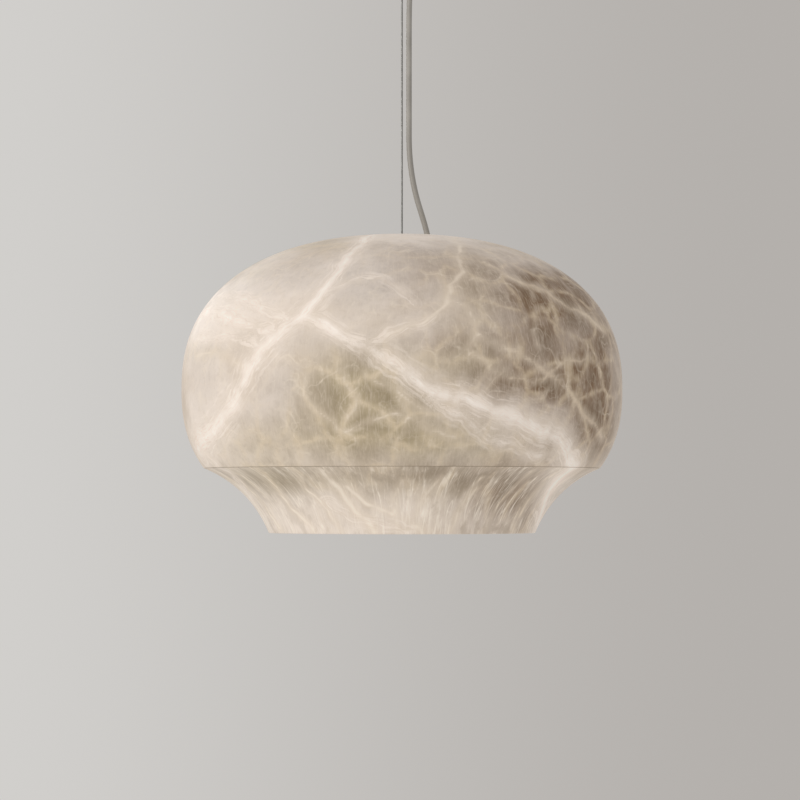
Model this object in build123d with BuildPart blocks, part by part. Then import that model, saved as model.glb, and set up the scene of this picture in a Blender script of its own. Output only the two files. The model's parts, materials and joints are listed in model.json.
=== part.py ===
"""A pendant lamp with a shade turned from two pieces of alabaster, hung on a thin steel wire.

The origin is on the ceiling, in the middle of the fixing strap. +Z points up into the ceiling, so the whole
lamp lies below z = 0. +X is the side on which the flex runs down beside the wire. Lengths are millimetres.

From the top down the lamp is a steel strap that is screwed to the ceiling, a spun canopy that covers it, a
wire gripper that clamps the canopy to the strap, the wire and the flex, a steel plate that carries the
stone from inside, and a lamp holder with its bulb on a yoke below that plate.
"""

import os
from math import acos, cos, pi, radians, sin, sqrt, tan

from build123d import *

os.makedirs("parts", exist_ok=True)

# ---------------------------------------------------------------------------------------------------------
# Driving dimensions
# ---------------------------------------------------------------------------------------------------------

# The stone shade
DROP = 380.0  # ceiling to the crown that the outline would reach
SHADE_RADIUS = 225.0
CROWN_RISE = 158.0  # widest level up to the crown
BELLY_REACH = 152.0  # widest level down to where the curve would close
BELLY_DROP = 80.0  # widest level down to the ridge, where the curve is cut
ROUNDNESS = 2.35  # exponent of the outline: 2 is an ellipse, more is squarer
BELLY_STEPS = 4  # points that the outline's curve goes through, below and above the widest level
CROWN_STEPS = 9
STONE_WALL = 10.0
SKIRT_HEIGHT = 66.0
RIM_RADIUS = 136.0
SKIRT_HOLLOW = 9.5  # how far the skirt's arc lies inside its chord
OPENING_RADIUS = 40.0
OPENING_ROUND = 3.0
SEAT_RADIUS = 77.0  # outside of the flat seat under the crown
LIP_HEIGHT = 6.0  # locating lip of the skirt, inside the upper stone
LIP_WALL = 6.0
LIP_CLEARANCE = 0.3
SEAM_STEP = 0.8  # the skirt starts this far inside the ridge
RESIN_THICKNESS = 0.4
EDGE_ROUND = 1.2

# The fixing strap and the canopy
STRAP_LENGTH = 104.0
STRAP_WIDTH = 22.0
STRAP_THICKNESS = 2.0
STRAP_DROP = 16.0  # ceiling to the top of the lowered middle
STRAP_MIDDLE = 26.0  # half the length of the lowered middle
STRAP_TIP = 36.0  # where each end comes back up to the ceiling
STRAP_BEND = 1.5
SLOT_SPACING = 88.0
SLOT_LENGTH = 12.0
SLOT_WIDTH = 4.6
CANOPY_RADIUS = 60.0
CANOPY_DEPTH = 40.0
CANOPY_WALL = 1.2
CANOPY_ROUND = 4.0

# Threads, nuts and screws, as plain cylinders
TUBE_RADIUS = 4.95  # the ten millimetre threaded tubes
THREAD_CLEARANCE = 0.1
TUBE_NUT_FLATS = 14.0
TUBE_NUT_HEIGHT = 4.0
TUBE_BORE = 3.0
TUBE_TOP_GAP = 11.0  # ceiling to the top of the upper tube
TUBE_GRIP = 10.0  # length of tube below the canopy
SCREW_RADIUS = 1.95
SCREW_HEAD_RADIUS = 3.6
SCREW_HEAD = 2.2

# The wire and its gripper
WIRE_RADIUS = 0.9
COLLAR_RADIUS = 7.0
COLLAR_FLANGE_RADIUS = 8.0
COLLAR_FLANGE = 3.0
COLLAR_SOCKET = 4.0  # depth of the socket for the body's spigot
SPIGOT_RADIUS = 6.0
BODY_LENGTH = 22.0
BODY_CHAMFER = 2.0
CHAMBER_RADIUS = 4.1
CHAMBER_LENGTH = 12.0
CONE_LENGTH = 10.0
PLUNGER_RADIUS = 3.0
PLUNGER_CLEARANCE = 0.1
PLUNGER_BORE_GAP = 0.3
PLUNGER_HEAD_RADIUS = 3.6
PLUNGER_HEAD = 2.0
PLUNGER_REACH = 5.0  # how far the push tip stands out below the body
BALL_RADIUS = 1.28
BALL_GAP = 0.02
BALL_COUNT = 3
SPRING_LENGTH = 11.0
SPRING_RADIUS = 3.4
SPRING_WIRE = 0.5
SPRING_TURNS = 3

# The flex, its grip at the canopy and its route
CORD_RADIUS = 2.9
CORD_BORE = 3.0
GRIP_X = 15.0
GRIP_FLANGE_RADIUS = 6.0
GRIP_FLANGE = 2.0
GRIP_STEM = 4.5
GRIP_NUT_FLATS = 13.0
GRIP_NUT_HEIGHT = 3.0
SLEEVE_TOP_RADIUS = 4.6
SLEEVE_END_RADIUS = 3.7
CORD_OFFSET = 7.2  # wire to flex where they run side by side
CORD_JOG_TOP = 13.0  # below the sleeve, where the flex leans over to the wire
CORD_JOG_END = 31.0
CORD_LEAN = radians(17.7)  # of the flex as it leaves the wire for the gland
CORD_UPRIGHT = 11.8  # above the plate, where the flex turns upright again, down in the opening
LEAD_RADIUS = 1.1
CLIP_Z = -128.5
CLIP_HEIGHT = 8.0
CLIP_WALL = 1.0
CLIP_CLEARANCE = 0.1

# The slack of both lines, coiled inside the canopy
CORD_COIL_RADIUS = 47.0
CORD_COIL_TURNS = 3
CORD_COIL_BASE = 0.05  # above the canopy's floor
CORD_RISE_Z = -25.7  # where the flex starts to lean over, above its grip
CORD_STEP = 19.1
CORD_TURN = 52.5  # degrees, at each of two corners
CORD_HEADING = radians(70)
WIRE_COIL_Z = -17.0
WIRE_COIL_TURNS = 3
WIRE_COIL_GAP = 0.05
WIRE_CREST_Z = -2.0
WIRE_BEND = 9.0

# The terminal block under the strap
BLOCK_LENGTH = 18.0
BLOCK_WIDTH = 16.0
BLOCK_HEIGHT = 14.0
BLOCK_EDGE = 1.0
BLOCK_Y = -18.0
POLE_PITCH = 9.0
CLAMP_SCREW_RADIUS = 1.7
CLAMP_SCREW_SPREAD = 8.0
EARTH_X = -6.0
EARTH_Y = 20.0

# The plate that carries the stone, and the hub that hangs on the wire's ball
GASKET_THICKNESS = 2.0
GASKET_STEP = 4.0  # opening in the crown to the gasket's inner edge
SEAT_MARGIN = 3.0  # plate and gasket inside the edge of the seat
PLATE_THICKNESS = 3.0
VENT_COUNT = 6
VENT_RADIUS = 4.0
VENT_CIRCLE = 25.0
WIRE_BALL_RADIUS = 3.2
SHANK_RADIUS = 1.6
SHANK_LENGTH = 11.0  # centre of the ball to the end of the shank
SOCKET_CLEARANCE = 0.07
HUB_FLANGE_RADIUS = 13.0
HUB_FLANGE = 5.0
HUB_NECK_RADIUS = 7.9
HUB_NECK = 6.0  # neck above the plate
HUB_THROAT = 2.3
HUB_MOUTH = 4.0
HUB_NUT_FLATS = 22.0
HUB_NUT_HEIGHT = 4.0
BALL_DEPTH = 3.0  # plate's underside to the ball's centre
GLAND_X = 29.2
GLAND_NECK = 6.0
GLAND_HEAD_RADIUS = 8.0
GLAND_CROWN_RADIUS = 5.0
GLAND_HEAD = 7.0
GLAND_STEM = 5.0
GLAND_NUT_FLATS = 16.0
GLAND_NUT_HEIGHT = 3.5

# The yoke and the lamp holder
YOKE_WIDTH = 20.0
YOKE_THICKNESS = 2.0
YOKE_SPAN = 34.0  # middle to the outside of each leg
YOKE_FOOT = 16.0
YOKE_DEPTH = 48.0
YOKE_BEND = 3.0
YOKE_SCREW_SPREAD = 12.0
HOLDER_TUBE_ABOVE = 8.7
HOLDER_TUBE_BELOW = 9.3
HOLDER_TUBE_BORE = 3.5
STUB_LENGTH = 9.0  # jacket of the flex below the plate
LEAD_SPREAD = 1.25
LEAD_ROUTE = ((21.3, -430.2), (9.7, -427.3))  # sag and crest between the flex and the tube
LEAD_BEND_Z = -424.0
LEAD_DROP_Z = -434.8
CAP_NECK_RADIUS = 8.0
CAP_NECK = 8.5
CAP_SLOPE = 4.0
CAP_RADIUS = 19.5
CAP_LENGTH = 31.0
CAP_WALL = 1.8
BODY_RING_RADIUS = 20.0
BODY_RING_LENGTH = 30.0
BODY_RING_WALL = 1.8
INSERT_RADIUS = 17.4
INSERT_HEIGHT = 12.0
INSERT_CHAMFER = 1.5
INSERT_DROP = 18.3  # yoke's underside to the top of the insert
SHELL_RADIUS = 13.7
SHELL_WALL = 0.4
SHELL_LENGTH = 22.0
SHELL_FLANGE = 16.0
SHELL_SEAT = 2.0  # how far the flange reaches inwards
TONGUE_WIDTH = 5.0
TONGUE_LENGTH = 9.0
TONGUE_THICKNESS = 0.5
TONGUE_DROP = 3.0

# The bulb
TIP_RADIUS = 4.5
TIP_HEIGHT = 1.5
GLAZE_RADIUS = 10.5
GLAZE_HEIGHT = 3.5
LAMP_CAP_RADIUS = 13.2
LAMP_CAP_LENGTH = 21.0
HOUSING_LENGTH = 40.0
NECK_STEP = 1.0  # the housing's neck outside the cap
NECK_LENGTH = 3.0
NECK_LEAN = (0.2, -1)  # direction of the housing's side below its neck
GLOBE_LEAN = (0.25, -1)  # and where it meets the globe
GLOBE_RADIUS = 30.0
GLOBE_WALL = 1.5
BULB_LENGTH = 108.0

# ---------------------------------------------------------------------------------------------------------
# Levels and places that follow from them
# ---------------------------------------------------------------------------------------------------------

widest_z = -(DROP + CROWN_RISE)
ridge_z = widest_z - BELLY_DROP
rim_z = ridge_z - SKIRT_HEIGHT
inner_radius = SHADE_RADIUS - STONE_WALL
inner_rise = CROWN_RISE - STONE_WALL
inner_reach = BELLY_REACH - STONE_WALL


def outline_radius(height, radius, reach):
    """Radius of the shade's outline at a height above or below its widest level."""
    return radius * (1 - (height / reach) ** ROUNDNESS) ** (1 / ROUNDNESS)


def outline_height(distance, radius, reach):
    """Height of the same outline above or below its widest level, at a distance from the axis."""
    return reach * (1 - (distance / radius) ** ROUNDNESS) ** (1 / ROUNDNESS)


def outline_points(radius, rise, reach, cut_drop, top_radius):
    """Points up one side of the shade: evenly in height below the widest level, evenly in angle above it."""
    drops = [cut_drop * step / BELLY_STEPS for step in range(BELLY_STEPS, 0, -1)]
    below = [(outline_radius(drop, radius, reach), widest_z - drop) for drop in drops]
    last = acos((top_radius / radius) ** (ROUNDNESS / 2))
    turns = [last * step / CROWN_STEPS for step in range(CROWN_STEPS + 1)]
    power = 2 / ROUNDNESS
    above = [(radius * cos(t) ** power, widest_z + rise * sin(t) ** power) for t in turns]
    return below + above


ridge_radius = outline_radius(BELLY_DROP, SHADE_RADIUS, BELLY_REACH)
seat_z = widest_z + outline_height(SEAT_RADIUS, inner_radius, inner_rise)
lip_inner = outline_radius(BELLY_DROP, inner_radius, inner_reach)
lip_outer = lip_inner + LIP_WALL
skirt_top_z = ridge_z - RESIN_THICKNESS

canopy_floor_z = -CANOPY_DEPTH + CANOPY_WALL
strap_under_z = -STRAP_DROP - STRAP_THICKNESS
tube_end_z = -CANOPY_DEPTH - TUBE_GRIP
body_top_z = tube_end_z - COLLAR_SOCKET
body_end_z = body_top_z - BODY_LENGTH
mouth_z = body_end_z - PLUNGER_REACH
cone_top_z = tube_end_z - CHAMBER_LENGTH
cone_end_z = cone_top_z - CONE_LENGTH
plunger_hole = PLUNGER_RADIUS + PLUNGER_CLEARANCE
head_top_z = tube_end_z - SPRING_LENGTH
ball_orbit = WIRE_RADIUS + BALL_GAP + BALL_RADIUS
cone_slope = (CHAMBER_RADIUS - plunger_hole) / CONE_LENGTH
# The balls rest where the cone is as wide as a ball on the wire, plus the small gap.
ball_wall = ball_orbit + (BALL_RADIUS + 2 * BALL_GAP) * sqrt(1 + cone_slope**2)
ball_z = cone_top_z - (CHAMBER_RADIUS - ball_wall) / cone_slope

plate_radius = SEAT_RADIUS - SEAT_MARGIN
gasket_inner = OPENING_RADIUS + GASKET_STEP
plate_top_z = seat_z - GASKET_THICKNESS
plate_under_z = plate_top_z - PLATE_THICKNESS
plate_middle_z = (plate_top_z + plate_under_z) / 2
hub_top_z = plate_top_z + HUB_NECK
hub_under_z = plate_under_z - HUB_FLANGE
wire_ball_z = plate_under_z - BALL_DEPTH
wire_end_z = wire_ball_z + SHANK_LENGTH
socket_radius = WIRE_BALL_RADIUS + SOCKET_CLEARANCE
cord_upright_z = plate_top_z + CORD_UPRIGHT
cord_bend_z = cord_upright_z + (GLAND_X - CORD_OFFSET) / tan(CORD_LEAN)

yoke_top_z = plate_under_z - YOKE_DEPTH
yoke_under_z = yoke_top_z - YOKE_THICKNESS
holder_tube_top_z = yoke_top_z + HOLDER_TUBE_ABOVE
holder_tube_end_z = yoke_under_z - HOLDER_TUBE_BELOW
cap_end_z = yoke_under_z - CAP_LENGTH
insert_top_z = yoke_under_z - INSERT_DROP
insert_under_z = insert_top_z - INSERT_HEIGHT
tip_z = insert_under_z - TONGUE_DROP
glaze_top_z = tip_z - TIP_HEIGHT
lamp_cap_top_z = glaze_top_z - GLAZE_HEIGHT
housing_top_z = lamp_cap_top_z - LAMP_CAP_LENGTH
globe_top_z = housing_top_z - HOUSING_LENGTH
bulb_end_z = tip_z - BULB_LENGTH

grip_axis = Axis((GRIP_X, 0, 0), (0, 0, 1))
gland_axis = Axis((GLAND_X, 0, 0), (0, 0, 1))


def corner_radii(points, share=0.45):
    """The largest radius that each corner of a route can take, from the shorter of its two runs."""
    found = []
    for before, corner, after in zip(points, points[1:], points[2:]):
        first = Vector(*corner) - Vector(*before)
        second = Vector(*after) - Vector(*corner)
        half_turn = radians(first.get_angle(second)) / 2
        found.append(share * min(first.length, second.length) / tan(half_turn))
    return found


def report_route(name, points, radii, solid, section_radius):
    """Prints a route's radii, and the solid's volume over its section times its length."""
    length = solid.volume / (pi * section_radius**2)
    runs = sum((Vector(*b) - Vector(*a)).length for a, b in zip(points, points[1:]))
    print(f"{name}: radii {[round(r, 1) for r in radii]}, length by volume {length:.1f}, straight runs {runs:.1f}")


def finish(piece, name):
    """Labels a finished piece and writes it under its node's name."""
    piece.part.label = name
    export_step(piece.part, f"parts/{name}.step")


# ---------------------------------------------------------------------------------------------------------
# The stone shade
# ---------------------------------------------------------------------------------------------------------

# The upper stone is a turned bowl, upside down. The plate bears on the flat seat inside its crown.
with BuildPart() as shade_dome:
    with BuildSketch(Plane.XZ):
        with BuildLine():
            outer = Spline(*outline_points(SHADE_RADIUS, CROWN_RISE, BELLY_REACH, BELLY_DROP, OPENING_RADIUS))
            inner = Spline(
                *outline_points(inner_radius, inner_rise, inner_reach, BELLY_DROP - LIP_HEIGHT, SEAT_RADIUS)
            )
            Polyline(outer @ 1, (OPENING_RADIUS, seat_z), inner @ 1)
            Polyline(
                inner @ 0,
                (lip_outer + LIP_CLEARANCE, ridge_z + LIP_HEIGHT),
                (lip_outer + LIP_CLEARANCE, ridge_z),
                outer @ 0,
            )
        make_face()
    revolve(axis=Axis.Z)
    fillet(shade_dome.edges().filter_by(GeomType.CIRCLE).group_by(Axis.Z)[-1], OPENING_ROUND)
finish(shade_dome, "shade_dome")

# The lower stone is a concave skirt. Its lip stands inside the upper stone and centres it.
with BuildPart() as shade_skirt:
    with BuildSketch(Plane.XZ):
        with BuildLine():
            SagittaArc((ridge_radius - SEAM_STEP, skirt_top_z), (RIM_RADIUS, rim_z), -SKIRT_HOLLOW)
            SagittaArc((lip_inner, skirt_top_z), (RIM_RADIUS - STONE_WALL, rim_z), -SKIRT_HOLLOW)
            Line((RIM_RADIUS, rim_z), (RIM_RADIUS - STONE_WALL, rim_z))
            Polyline(
                (lip_inner, skirt_top_z),
                (lip_inner, ridge_z + LIP_HEIGHT - LIP_CLEARANCE),
                (lip_outer, ridge_z + LIP_HEIGHT - LIP_CLEARANCE),
                (lip_outer, skirt_top_z),
                (ridge_radius - SEAM_STEP, skirt_top_z),
            )
        make_face()
    revolve(axis=Axis.Z)
    fillet(shade_skirt.edges().filter_by(GeomType.CIRCLE).group_by(Axis.Z)[0], EDGE_ROUND)
finish(shade_skirt, "shade_skirt")

# A thin bed of clear resin joins the two stones on the ridge.
with BuildPart() as seam_resin:
    with BuildSketch(Plane.XY.offset(skirt_top_z)):
        Circle(ridge_radius - SEAM_STEP)
        Circle(lip_outer + LIP_CLEARANCE, mode=Mode.SUBTRACT)
    extrude(amount=RESIN_THICKNESS)
finish(seam_resin, "seam_resin")

# ---------------------------------------------------------------------------------------------------------
# The strap and the canopy
# ---------------------------------------------------------------------------------------------------------

# The strap is bent down in the middle, which leaves room above it for the nut and the wire's end.
half = STRAP_LENGTH / 2
bend_shift = STRAP_THICKNESS / 2
with BuildPart() as ceiling_strap:
    with BuildSketch(Plane.YZ):
        with BuildLine():
            Polyline(
                (0, -STRAP_DROP),
                (STRAP_MIDDLE, -STRAP_DROP),
                (STRAP_TIP, 0),
                (half, 0),
                (half, -STRAP_THICKNESS),
                (STRAP_TIP + bend_shift, -STRAP_THICKNESS),
                (STRAP_MIDDLE + bend_shift, strap_under_z),
                (0, strap_under_z),
                close=True,
            )
        make_face()
    extrude(amount=STRAP_WIDTH / 2, both=True)
    bends = ceiling_strap.edges().filter_by(Axis.X).filter_by_position(Axis.Y, STRAP_BEND, half - STRAP_BEND)
    fillet(bends, STRAP_BEND)
    mirror(about=Plane.XZ)
    with BuildSketch(Plane.XY):
        with Locations((0, -SLOT_SPACING / 2), (0, SLOT_SPACING / 2)):
            SlotOverall(SLOT_LENGTH, SLOT_WIDTH, rotation=90)
    extrude(amount=-STRAP_THICKNESS, mode=Mode.SUBTRACT)
    with BuildSketch(Plane.XY.offset(strap_under_z)):
        Circle(TUBE_RADIUS + THREAD_CLEARANCE)
        with Locations((EARTH_X, EARTH_Y)):
            Circle(SCREW_RADIUS)
    extrude(amount=STRAP_THICKNESS, mode=Mode.SUBTRACT)
finish(ceiling_strap, "ceiling_strap")

with BuildPart() as canopy:
    with BuildSketch(Plane.XY.offset(-CANOPY_DEPTH)):
        Circle(CANOPY_RADIUS)
    extrude(amount=CANOPY_DEPTH)
    fillet(canopy.edges().group_by(Axis.Z)[0], CANOPY_ROUND)
    offset(amount=-CANOPY_WALL, openings=canopy.faces().sort_by(Axis.Z)[-1])
    with BuildSketch(Plane.XY.offset(-CANOPY_DEPTH)):
        Circle(TUBE_RADIUS + THREAD_CLEARANCE)
        with Locations((GRIP_X, 0)):
            Circle(TUBE_RADIUS + THREAD_CLEARANCE)
    extrude(amount=CANOPY_WALL, mode=Mode.SUBTRACT)
finish(canopy, "canopy")

with BuildPart() as strap_tube:
    with BuildSketch(Plane.XY.offset(tube_end_z)):
        Circle(TUBE_RADIUS)
        Circle(TUBE_BORE, mode=Mode.SUBTRACT)
    extrude(amount=-TUBE_TOP_GAP - tube_end_z)
finish(strap_tube, "strap_tube")

with BuildPart() as strap_nuts:
    for base in (-STRAP_DROP, strap_under_z - TUBE_NUT_HEIGHT):
        with BuildSketch(Plane.XY.offset(base)):
            RegularPolygon(TUBE_NUT_FLATS / 2, 6, major_radius=False)
            Circle(TUBE_RADIUS, mode=Mode.SUBTRACT)
        extrude(amount=TUBE_NUT_HEIGHT)
finish(strap_nuts, "strap_nuts")

# ---------------------------------------------------------------------------------------------------------
# The wire gripper: three balls in a cone bite on the wire, and pushing the tip up frees them
# ---------------------------------------------------------------------------------------------------------

with BuildPart() as gripper_collar:
    with BuildSketch(Plane.XZ):
        with BuildLine():
            Polyline(
                (TUBE_RADIUS + THREAD_CLEARANCE, -CANOPY_DEPTH),
                (COLLAR_FLANGE_RADIUS, -CANOPY_DEPTH),
                (COLLAR_FLANGE_RADIUS, -CANOPY_DEPTH - COLLAR_FLANGE),
                (COLLAR_RADIUS, -CANOPY_DEPTH - COLLAR_FLANGE),
                (COLLAR_RADIUS, body_top_z),
                (SPIGOT_RADIUS + THREAD_CLEARANCE, body_top_z),
                (SPIGOT_RADIUS + THREAD_CLEARANCE, tube_end_z),
                (TUBE_RADIUS + THREAD_CLEARANCE, tube_end_z),
                close=True,
            )
        make_face()
    revolve(axis=Axis.Z)
finish(gripper_collar, "gripper_collar")

with BuildPart() as gripper_body:
    with BuildSketch(Plane.XZ):
        with BuildLine():
            Polyline(
                (CHAMBER_RADIUS, tube_end_z),
                (SPIGOT_RADIUS, tube_end_z),
                (SPIGOT_RADIUS, body_top_z),
                (COLLAR_RADIUS, body_top_z),
                (COLLAR_RADIUS, body_end_z + BODY_CHAMFER),
                (COLLAR_RADIUS - BODY_CHAMFER, body_end_z),
                (plunger_hole, body_end_z),
                (plunger_hole, cone_end_z),
                (CHAMBER_RADIUS, cone_top_z),
                close=True,
            )
        make_face()
    revolve(axis=Axis.Z)
finish(gripper_body, "gripper_body")

with BuildPart() as gripper_plunger:
    with BuildSketch(Plane.XZ):
        with BuildLine():
            Polyline(
                (WIRE_RADIUS + PLUNGER_BORE_GAP, head_top_z),
                (PLUNGER_HEAD_RADIUS, head_top_z),
                (PLUNGER_HEAD_RADIUS, head_top_z - PLUNGER_HEAD),
                (PLUNGER_RADIUS, head_top_z - PLUNGER_HEAD),
                (PLUNGER_RADIUS, mouth_z),
                (WIRE_RADIUS + PLUNGER_BORE_GAP, mouth_z),
                close=True,
            )
        make_face()
    revolve(axis=Axis.Z)
    for turn in range(BALL_COUNT):
        window = Plane((0, 0, ball_z), z_dir=Vector(1, 0, 0).rotate(Axis.Z, 360 * turn / BALL_COUNT))
        with BuildSketch(window):
            Circle(BALL_RADIUS + BALL_GAP)
        extrude(amount=PLUNGER_RADIUS, mode=Mode.SUBTRACT)
finish(gripper_plunger, "gripper_plunger")

with BuildPart() as gripper_balls:
    with Locations(Plane.XY.offset(ball_z)):
        with PolarLocations(ball_orbit, BALL_COUNT):
            Sphere(BALL_RADIUS)
finish(gripper_balls, "gripper_balls")

# The spring is wound from square wire.
spring_rise = SPRING_LENGTH - SPRING_WIRE
with BuildPart() as gripper_spring:
    with BuildLine() as coil:
        Helix(
            pitch=spring_rise / SPRING_TURNS,
            height=spring_rise,
            radius=SPRING_RADIUS,
            center=(0, 0, head_top_z + SPRING_WIRE / 2),
        )
    with BuildSketch(Plane(coil.line @ 0, z_dir=coil.line % 0)):
        Rectangle(SPRING_WIRE, SPRING_WIRE)
    sweep(is_frenet=True)
finish(gripper_spring, "gripper_spring")

# ---------------------------------------------------------------------------------------------------------
# The wire
# ---------------------------------------------------------------------------------------------------------

with BuildPart() as suspension_wire:
    with BuildSketch(Plane.XY.offset(wire_end_z)):
        Circle(WIRE_RADIUS)
    extrude(amount=mouth_z - wire_end_z)
finish(suspension_wire, "suspension_wire")

# The ball and shank that are pressed on the wire's lower end.
with BuildPart() as wire_ball:
    with Locations((0, 0, wire_ball_z)):
        Sphere(WIRE_BALL_RADIUS)
    with BuildSketch(Plane.XY.offset(wire_ball_z)):
        Circle(SHANK_RADIUS)
    extrude(amount=SHANK_LENGTH)
finish(wire_ball, "wire_ball")

# Inside the gripper and the strap's tube, over the strap, then out to the coil of spare wire.
wire_coil_radius = CANOPY_RADIUS - CANOPY_WALL - WIRE_COIL_GAP - WIRE_RADIUS
wire_coil_inner = wire_coil_radius - WIRE_RADIUS
wire_coil_height = (WIRE_COIL_TURNS + 1) * 2 * WIRE_RADIUS  # each turn climbs by one thickness
wire_tail_points = [
    (0, 0, mouth_z),
    (0, 0, WIRE_CREST_Z),
    (-CANOPY_RADIUS / 2, 0, WIRE_CREST_Z),
    (WIRE_RADIUS - wire_coil_inner, 0, WIRE_COIL_Z),
]
with BuildPart() as wire_tail:
    with BuildLine() as route:
        FilletPolyline(*wire_tail_points, radius=[WIRE_BEND, 2 * WIRE_BEND])
    with BuildSketch(Plane(route.line @ 0, z_dir=route.line % 0)):
        Circle(WIRE_RADIUS)
    sweep()
finish(wire_tail, "wire_tail")

# The outer shape of the coil of spare wire, which springs out against the canopy's wall.
with BuildPart() as wire_coil:
    with BuildSketch(Plane.XY.offset(WIRE_COIL_Z - wire_coil_height / 2)):
        Circle(wire_coil_radius + WIRE_RADIUS)
        Circle(wire_coil_inner, mode=Mode.SUBTRACT)
    extrude(amount=wire_coil_height)
finish(wire_coil, "wire_coil")

# ---------------------------------------------------------------------------------------------------------
# The flex
# ---------------------------------------------------------------------------------------------------------

grip_top_z = canopy_floor_z + GRIP_STEM
with BuildPart() as cord_grip:
    with BuildSketch(Plane.XZ):
        with BuildLine():
            Polyline(
                (GRIP_X + CORD_BORE, grip_top_z),
                (GRIP_X + TUBE_RADIUS, grip_top_z),
                (GRIP_X + TUBE_RADIUS, -CANOPY_DEPTH),
                (GRIP_X + GRIP_FLANGE_RADIUS, -CANOPY_DEPTH),
                (GRIP_X + GRIP_FLANGE_RADIUS, -CANOPY_DEPTH - GRIP_FLANGE),
                (GRIP_X + CORD_BORE, -CANOPY_DEPTH - GRIP_FLANGE),
                close=True,
            )
        make_face()
    revolve(axis=grip_axis)
finish(cord_grip, "cord_grip")

with BuildPart() as grip_nut:
    with BuildSketch(Plane.XY.offset(canopy_floor_z)):
        with Locations((GRIP_X, 0)):
            RegularPolygon(GRIP_NUT_FLATS / 2, 6, major_radius=False, rotation=30)
            Circle(TUBE_RADIUS, mode=Mode.SUBTRACT)
    extrude(amount=GRIP_NUT_HEIGHT)
finish(grip_nut, "grip_nut")

# The soft tapered sleeve that keeps the flex from bending sharply where it leaves the canopy.
with BuildPart() as cord_sleeve:
    with BuildSketch(Plane.XZ):
        with BuildLine():
            Polyline(
                (GRIP_X + CORD_BORE, -CANOPY_DEPTH - GRIP_FLANGE),
                (GRIP_X + SLEEVE_TOP_RADIUS, -CANOPY_DEPTH - GRIP_FLANGE),
                (GRIP_X + SLEEVE_END_RADIUS, mouth_z),
                (GRIP_X + CORD_BORE, mouth_z),
                close=True,
            )
        make_face()
    revolve(axis=grip_axis)
finish(cord_sleeve, "cord_sleeve")

# The stretch that hangs in the open, from the sleeve's mouth to the middle of the plate's gland.
cord_points = [
    (GRIP_X, 0, mouth_z),
    (GRIP_X, 0, mouth_z - CORD_JOG_TOP),
    (CORD_OFFSET, 0, mouth_z - CORD_JOG_END),
    (CORD_OFFSET, 0, cord_bend_z),
    (GLAND_X, 0, cord_upright_z),
    (GLAND_X, 0, plate_middle_z),
]
cord_radii = corner_radii(cord_points)
with BuildPart() as power_cord:
    with BuildLine() as route:
        FilletPolyline(*cord_points, radius=cord_radii)
    with BuildSketch(Plane(route.line @ 0, z_dir=route.line % 0)):
        Circle(CORD_RADIUS)
    sweep()
report_route("power_cord", cord_points, cord_radii, power_cord.part, CORD_RADIUS)
finish(power_cord, "power_cord")

# A clear clip holds the flex beside the wire, just below the gripper.
with BuildPart() as cord_clip:
    with BuildSketch(Plane.XY.offset(CLIP_Z - CLIP_HEIGHT / 2)):
        Circle(WIRE_RADIUS + CLIP_CLEARANCE + CLIP_WALL)
        with Locations((CORD_OFFSET, 0)):
            Circle(CORD_RADIUS + CLIP_CLEARANCE + CLIP_WALL)
        with Locations((CORD_OFFSET / 2, 0)):
            Rectangle(CORD_OFFSET, 2 * WIRE_RADIUS + CLIP_WALL)
        Circle(WIRE_RADIUS + CLIP_CLEARANCE, mode=Mode.SUBTRACT)
        with Locations((CORD_OFFSET, 0)):
            Circle(CORD_RADIUS + CLIP_CLEARANCE, mode=Mode.SUBTRACT)
    extrude(amount=CLIP_HEIGHT)
finish(cord_clip, "cord_clip")

# Inside the sleeve and the grip, up past the side of the strap and over into the coil of spare flex.
cord_coil_inner = CORD_COIL_RADIUS - CORD_RADIUS
entry_reach = cord_coil_inner - CORD_RADIUS
entry_run = sqrt(entry_reach**2 - (GRIP_X * sin(CORD_HEADING)) ** 2) - GRIP_X * cos(CORD_HEADING)
step_run = CORD_STEP * sin(radians(CORD_TURN))
crest_z = CORD_RISE_Z + CORD_STEP * cos(radians(CORD_TURN))
entry_end_z = crest_z - (entry_run - step_run) * tan(radians(2 * CORD_TURN - 90))
entry_places = [(0, mouth_z), (0, CORD_RISE_Z), (step_run, crest_z), (entry_run, entry_end_z)]
entry_points = [(GRIP_X + run * cos(CORD_HEADING), run * sin(CORD_HEADING), z) for run, z in entry_places]
entry_radii = corner_radii(entry_points)
with BuildPart() as cord_entry:
    with BuildLine() as route:
        FilletPolyline(*entry_points, radius=entry_radii)
    with BuildSketch(Plane(route.line @ 0, z_dir=route.line % 0)):
        Circle(CORD_RADIUS)
    sweep()
report_route("cord_entry", entry_points, entry_radii, cord_entry.part, CORD_RADIUS)
finish(cord_entry, "cord_entry")

# The outer shape of the coil of spare flex, which lies on the canopy's floor.
with BuildPart() as cord_coil:
    with BuildSketch(Plane.XY.offset(canopy_floor_z + CORD_COIL_BASE)):
        Circle(CORD_COIL_RADIUS + CORD_RADIUS)
        Circle(cord_coil_inner, mode=Mode.SUBTRACT)
    extrude(amount=(CORD_COIL_TURNS + 1) * 2 * CORD_RADIUS)
finish(cord_coil, "cord_coil")

# ---------------------------------------------------------------------------------------------------------
# The terminal block, its screws and the leads of the flex
# ---------------------------------------------------------------------------------------------------------

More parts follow.
